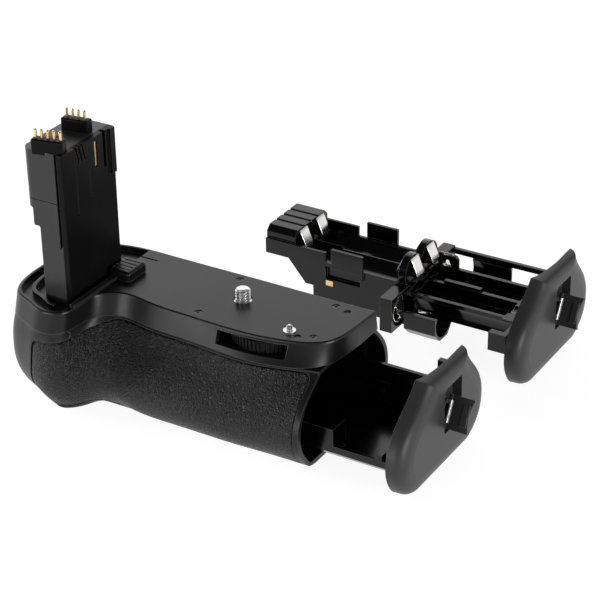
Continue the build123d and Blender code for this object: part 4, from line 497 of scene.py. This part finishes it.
def gridFaces(rows, columns, wrapColumns=False, wrapRows=False):
    # quads of a rows by columns grid of points, closed round the columns or the rows where asked
    last, high = columns if wrapColumns else columns - 1, rows if wrapRows else rows - 1
    row, column = np.meshgrid(np.arange(high), np.arange(last), indexing="ij")
    beside, above = (column + 1) % columns, (row + 1) % rows
    corners = (row * columns + column, row * columns + beside,
               above * columns + beside, above * columns + column)
    return np.stack([corner.ravel() for corner in corners], axis=1)


def addMesh(name, points, faces, finish, body):
    # a smooth-shaded piece that rides on the body, with its place in its mesh
    mesh = bpy.data.meshes.new(name)
    mesh.from_pydata(np.asarray(points).reshape(-1, 3).tolist(), [], [list(face) for face in faces])
    mesh.materials.append(finishes[finish])
    mesh.polygons.foreach_set("use_smooth", np.full(len(mesh.polygons), True))
    mesh.update()
    piece = bpy.data.objects.new(name, mesh)
    bpy.context.scene.collection.objects.link(piece)
    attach(piece, body)
    return piece


def closedRevolve(points):
    # faces of rings of points stacked along an axis, with a fan point to close each end
    rings, around = points.shape[:2]
    ends = points[[0, -1]].mean(axis=1)
    faces = gridFaces(rings, around, True).tolist()
    low, high = rings * around, rings * around + 1
    step = np.arange(around)
    beside = (step + 1) % around
    faces += np.stack([np.full(around, low), beside, step], axis=1).tolist()
    top = (rings - 1) * around
    faces += np.stack([np.full(around, high), top + step, top + beside], axis=1).tolist()
    return np.concatenate([points.reshape(-1, 3), ends]), faces


def sheetNormals(points):
    # unit normals of a grid of points, along rows crossed with columns
    across = np.cross(np.gradient(points, axis=1), np.gradient(points, axis=0))
    return across / np.linalg.norm(across, axis=2, keepdims=True)


def shellFromSheet(front, back):
    # one closed shell between two grids of the same size
    rows, columns = front.shape[:2]
    count = rows * columns
    faces = gridFaces(rows, columns)
    right = np.arange(1, rows) * columns + columns - 1
    top = (rows - 1) * columns + np.arange(columns - 2, -1, -1)
    left = np.arange(rows - 2, 0, -1) * columns
    rim = np.concatenate([np.arange(columns), right, top, left])
    beside = np.roll(rim, -1)
    walls = np.stack([beside, rim, rim + count, beside + count], axis=1)
    faces = np.concatenate([faces, faces[:, ::-1] + count, walls])
    return np.concatenate([front.reshape(-1, 3), back.reshape(-1, 3)]), faces.tolist()


def smoothStep(value, low, high):
    # 0 up to low, 1 from high on, and a soft S between
    share = np.clip((value - low) / (high - low), 0, 1)
    return share * share * (3 - 2 * share)


def easeLine(line, times):
    # each point moves to a quarter, a half and a quarter of itself and its neighbours; the ends stay
    for _ in range(times):
        line[1:-1] = (line[:-2] + 2 * line[1:-1] + line[2:]) / 4
    return line


# leather skin on the front

skinShape = {
    "top": -10.3, "bulgeTop": -13.9, "bottom": -47.6,      # levels, mm
    "groove": -46.96, "bulge": -58.0,                      # where the top edge steps down
    "right": 46.6, "leftTop": -71.5, "leftSlope": 8.5 / 42.1,   # the left edge leans this much per mm down
    "corner": 4.0, "seam": 0.16, "roll": 0.45, "rollWidth": 0.9, "thick": 0.55,
    "start": -70.0, "missedPast": -69.9,                   # where the sheet starts, and what hit nothing
    "along": 340, "down": 140, "easings": 3,
}


def skinOutline(shape):
    # a point of the sheet is a share along and a share up between four edges, drawn in at the corners
    along, up = np.meshgrid(np.linspace(0, 1, shape["along"]), np.linspace(0, 1, shape["down"]))
    seam, corner = shape["seam"], shape["corner"]
    bottom = shape["bottom"] + seam
    height = shape["top"] - seam - bottom
    z = bottom + up * height
    left = shape["leftTop"] + seam - shape["leftSlope"] * (shape["bulgeTop"] - z)
    right = shape["right"] - seam
    fromTop = np.clip(corner - (1 - up) * height, 0, corner)
    draw = corner - np.sqrt(np.maximum(corner ** 2 - fromTop ** 2, 0))
    left, right = left + draw, right - draw
    width = right - left
    x = left + along * width
    step = np.clip((x - shape["bulge"]) / (shape["groove"] - shape["bulge"]), 0, 1)
    z = z - up * (1 - step) * (shape["top"] - shape["bulgeTop"])
    edge = np.minimum.reduce([along * width, (1 - along) * width, (1 - up) * height, up * height])
    return x, z, edge


def fillMissed(values, missed):
    # a missed point takes the value of the nearest hit in its row
    count = values.shape[1]
    here = np.arange(count)
    before = np.maximum.accumulate(np.where(missed, -count, here), axis=1)
    after = np.minimum.accumulate(np.where(missed, 2 * count, here)[:, ::-1], axis=1)[:, ::-1]
    nearest = np.where(after - here < here - before, after, before)
    return np.take_along_axis(values, np.clip(nearest, 0, count - 1), axis=1)


def makeSkin(shape):
    # the sheet is laid on the CAD skin along Y, then its rim is rolled down into the seam
    x, z, edge = skinOutline(shape)
    start = np.stack([x, np.full_like(x, shape["start"]), z], axis=2) * mm
    sheet = addMesh("leatherSkin", start, gridFaces(*x.shape), "leatherRubber", "grip")
    wrap = sheet.modifiers.new("layOnGrip", "SHRINKWRAP")
    wrap.target, wrap.wrap_method = nodes["rubber_skin"], "PROJECT"
    wrap.use_project_y = True
    wrap.use_negative_direction, wrap.use_positive_direction = False, True
    laid = sheet.evaluated_get(bpy.context.evaluated_depsgraph_get()).to_mesh()
    flat = np.empty(len(laid.vertices) * 3, np.float32)
    laid.vertices.foreach_get("co", flat)
    bpy.data.objects.remove(sheet)
    points = flat.reshape(*x.shape, 3).astype(float)
    missed = points[..., 1] < shape["missedPast"] * mm
    depth = fillMissed(points[..., 1], missed)
    print("leather points off the CAD skin:", int(missed.sum()))
    for _ in range(shape["easings"]):   # the CAD mesh's flats are eased out along columns and rows
        depth = easeLine(depth, 1)
        depth = easeLine(depth.T, 1).T
    points[..., 1] = depth
    normals = sheetNormals(points)
    rolled = (1 - np.clip(edge / shape["rollWidth"], 0, 1)) ** 2 * shape["roll"] * mm
    front = points - normals * rolled[..., None]
    back = points - normals * (shape["thick"] + shape["roll"]) * mm
    skin = addMesh("leatherSkin", *shellFromSheet(front, back), "leatherRubber", "grip")
    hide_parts("rubber_skin")


makeSkin(skinShape)
print("leather skin laid")


# camera screw with its thread

screwShape = {
    "journal": 2.0, "journalLow": -11.5,                   # mm
    "gearLow": -8.5, "gearHigh": -6.7, "teeth": 12, "gearTip": 8.65, "gearRoot": 6.7,
    "toothShares": (0.10, 0.30),                           # half a tooth's width at its tip and at its root
    "wheelPlace": (19.0, -8.5),                            # the thumbwheel's axis, which a tooth gap faces
    "shoulder": 4.0, "shoulderHigh": -0.3, "edge": 0.15,
    "radius": 3.175, "depth": 0.72, "pitch": 1.27, "top": 5.0, "chamfer": 0.6,
    "flank": (0.15, 0.75), "runOut": 0.6,                  # the ridge's rise, and where it fades in
    "around": 120, "threadRings": 130,
}


def makeScrew(shape):
    # radius as a function of the angle and the level: journal, gear, shoulder, then a helical ridge
    angle = np.linspace(0, 2 * math.pi, shape["around"], endpoint=False)
    plain = np.ones_like(angle)
    facing = math.atan2(shape["wheelPlace"][1], shape["wheelPlace"][0])
    fromTooth = np.abs(((angle - facing) * shape["teeth"] / (2 * math.pi)) % 1 - 0.5)
    gear = np.interp(fromTooth, shape["toothShares"], (shape["gearTip"], shape["gearRoot"]))
    edge, journal, shoulder = shape["edge"], shape["journal"], shape["shoulder"]
    low, shoulderHigh, top = shape["journalLow"], shape["shoulderHigh"], shape["top"]
    lowLevels = [low, low + edge, shape["gearLow"], shape["gearLow"], shape["gearHigh"], shape["gearHigh"],
                 shoulderHigh - edge, shoulderHigh]
    lowRadii = [plain * (journal - edge), plain * journal, plain * journal, gear, gear, plain * shoulder,
                plain * shoulder, plain * (shoulder - edge)]
    level = np.linspace(shoulderHigh, top, shape["threadRings"])[:, None]
    turn = ((level - shape["pitch"] * angle / (2 * math.pi)) / shape["pitch"]) % 1
    ridge = smoothStep(1 - np.abs(turn - 0.5) * 2, *shape["flank"])
    runOut = smoothStep(level, shoulderHigh, shoulderHigh + shape["runOut"])
    chamfer = np.clip(level - (top - shape["chamfer"]), 0, None)
    thread = shape["radius"] - shape["depth"] + shape["depth"] * ridge * runOut
    thread = np.minimum(thread, shape["radius"] - chamfer)
    tip = plain * (shape["radius"] - shape["chamfer"]) * 0.5
    radii = np.concatenate([lowRadii, thread, [tip]])
    levels = np.concatenate([lowLevels, level[:, 0], [top]])[:, None] * plain
    points = np.stack([radii * np.cos(angle), radii * np.sin(angle), levels], axis=2) * mm
    screw = addMesh("threadedScrew", *closedRevolve(points), "brightSteel", "camera_screw")
    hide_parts("camera_screw")


makeScrew(screwShape)
print("camera screw threaded")


# nickel contacts of the AA tray

leafShape = {
    # out from the block's face and level, mm, from the curled foot up to the top edge
    "path": ((0.4, -25.2), (1.6, -25.3), (3.2, -24.2), (3.8, -22.2), (3.1, -19.6), (0.7, -14.3),
             (0.1, -13.4)),
    "half": 3.3, "tongue": 1.9, "shoulder": (0.50, 0.56),   # half widths, and where the leaf widens
    "dimple": 0.45, "dimplePlace": 0.30, "dimpleSpread": 0.07,
    "thick": 0.35, "along": 60, "across": 15, "easings": 12,
}
leafPlaces = {
    # face x, middle y, facing, rise, mm
    "block": ((-25.5, 90.65, 1, 0.0), (-25.5, 105.35, 1, 0.0)),
    "middle": ((31.6, 90.65, 1, 0.0), (31.6, 105.35, 1, 0.0),
               (28.0, 90.65, -1, 0.0), (28.0, 105.35, -1, 0.0)),
    "lower": ((30.0, 75.8, 1, -12.0), (30.0, 120.2, 1, -12.0)),
}
platePlaces = {
    # middle x and z, front y, width, height, thickness, corner, hole radius, mm
    "bridge": (38.2, -23.9, 111.2, 10.8, 9.0, 0.6, 2.2, 1.5),
    "strip": (41.6, -34.6, 81.9, 6.4, 1.6, 0.3, 0.4, 0.0),
}
plateEdgeShare = 0.3        # of the thickness or the corner, whichever is less
plateAround = 64
wireShape = {
    # plane x, radius, and the line's y and z, mm
    "x": 32.2, "radius": 0.34, "easings": 40, "along": 90, "around": 12,
    "path": ((87.6, -34.9), (84.0, -36.9), (80.0, -37.6), (76.0, -38.6), (72.0, -37.2), (69.9, -33.4),
             (71.4, -29.4), (75.0, -27.6)),
}


def leafShell(shape, x, y, facing, rise):
    # the path is carried across the leaf's width, which narrows to a tongue, and gets its thickness
    stops = np.linspace(0, 1, len(shape["path"]))
    t = np.linspace(0, 1, shape["along"])
    line = np.stack([np.interp(t, stops, column) for column in np.array(shape["path"]).T], axis=1)
    line = easeLine(line, shape["easings"])
    half = shape["tongue"] + (shape["half"] - shape["tongue"]) * smoothStep(t, *shape["shoulder"])
    across = np.linspace(-1, 1, shape["across"])
    swell = np.exp(-((t - shape["dimplePlace"]) / shape["dimpleSpread"]) ** 2)
    out = line[:, :1] + shape["dimple"] * swell[:, None] * np.cos(across * math.pi / 2)[None, :] ** 2
    points = np.stack([x + facing * out, y + facing * half[:, None] * across[None, :],
                       np.repeat(line[:, 1:] + rise, len(across), axis=1)], axis=2) * mm
    return shellFromSheet(points, points - sheetNormals(points) * shape["thick"] * mm)


def roundedOutline(width, height, corner):
    # a rectangle with rounded corners: a point on a circle, pushed out to the nearest corner's centre
    angle = (np.arange(plateAround) + 0.5) * 2 * math.pi / plateAround
    c, s = np.cos(angle), np.sin(angle)
    return np.stack([corner * c + np.sign(c) * (width / 2 - corner),
                     corner * s + np.sign(s) * (height / 2 - corner)], axis=1)


def plateShell(x, z, y, width, height, thick, corner, hole):
    # a flat plate facing the front, as rings from its back to its front, round its hole if it has one
    outline = roundedOutline(width, height, corner)
    edge = min(thick, corner) * plateEdgeShare
    inset = outline * (1 - 2 * edge / np.array([width, height]))
    angle = np.arctan2(outline[:, 1], outline[:, 0])
    inner = np.stack([np.cos(angle), np.sin(angle)], axis=1) * hole
    rings = [(inset, thick), (outline, thick - edge), (outline, edge), (inset, 0.0)]
    if hole:
        rings = [(inner, thick)] + rings + [(inner, 0.0)]
    points = np.stack([np.stack([x + ring[:, 0], np.full(len(ring), y + back), z + ring[:, 1]], axis=1)
                       for ring, back in rings]) * mm
    if hole:
        return points.reshape(-1, 3), gridFaces(*points.shape[:2], True, True).tolist()
    return closedRevolve(points)


def wireShell(shape):
    # a round wire along a line in an upright plane: the line plus radius times (cos a, sin a) across it
    path = np.array(shape["path"])
    t = np.linspace(0, len(path) - 1, shape["along"])
    y, z = (np.interp(t, np.arange(len(path)), column) for column in path.T)
    line = easeLine(np.stack([np.full(len(t), shape["x"]), y, z], axis=1), shape["easings"])
    way = np.gradient(line, axis=0)
    way /= np.linalg.norm(way, axis=1, keepdims=True)
    side = np.array([1.0, 0.0, 0.0])
    normal = np.cross(side, way)
    angle = np.linspace(0, 2 * math.pi, shape["around"], endpoint=False)[None, :, None]
    points = line[:, None] + shape["radius"] * (np.cos(angle) * normal[:, None] + np.sin(angle) * side)
    return closedRevolve(points * mm)


def joinShells(shells):
    # several closed shells as the points and faces of one mesh
    points, faces, count = [], [], 0
    for shellPoints, shellFaces in shells:
        shellPoints = np.asarray(shellPoints).reshape(-1, 3)
        faces += [[corner + count for corner in face] for face in shellFaces]
        points.append(shellPoints)
        count += len(shellPoints)
    return np.concatenate(points), faces


def makeContacts(name, node, shells):
    # one nickel piece that stands for a node of contacts
    piece = addMesh(name, *joinShells(shells), "nickelLeaf", "grip")
    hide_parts(node)


leaves = {group: [leafShell(leafShape, *place) for place in places]
          for group, places in leafPlaces.items()}
plates = {name: plateShell(*place) for name, place in platePlaces.items()}
makeContacts("blockLeaves", "aa_block_contacts", leaves["block"])
makeContacts("middleLeaves", "aa_middle_contacts", leaves["middle"] + [plates["bridge"]])
makeContacts("lowerLeaves", "aa_lower_contacts", leaves["lower"] + [plates["strip"], wireShell(wireShape)])
print("AA tray contacts bent")

bpy.context.scene.view_settings.view_transform = "Standard"
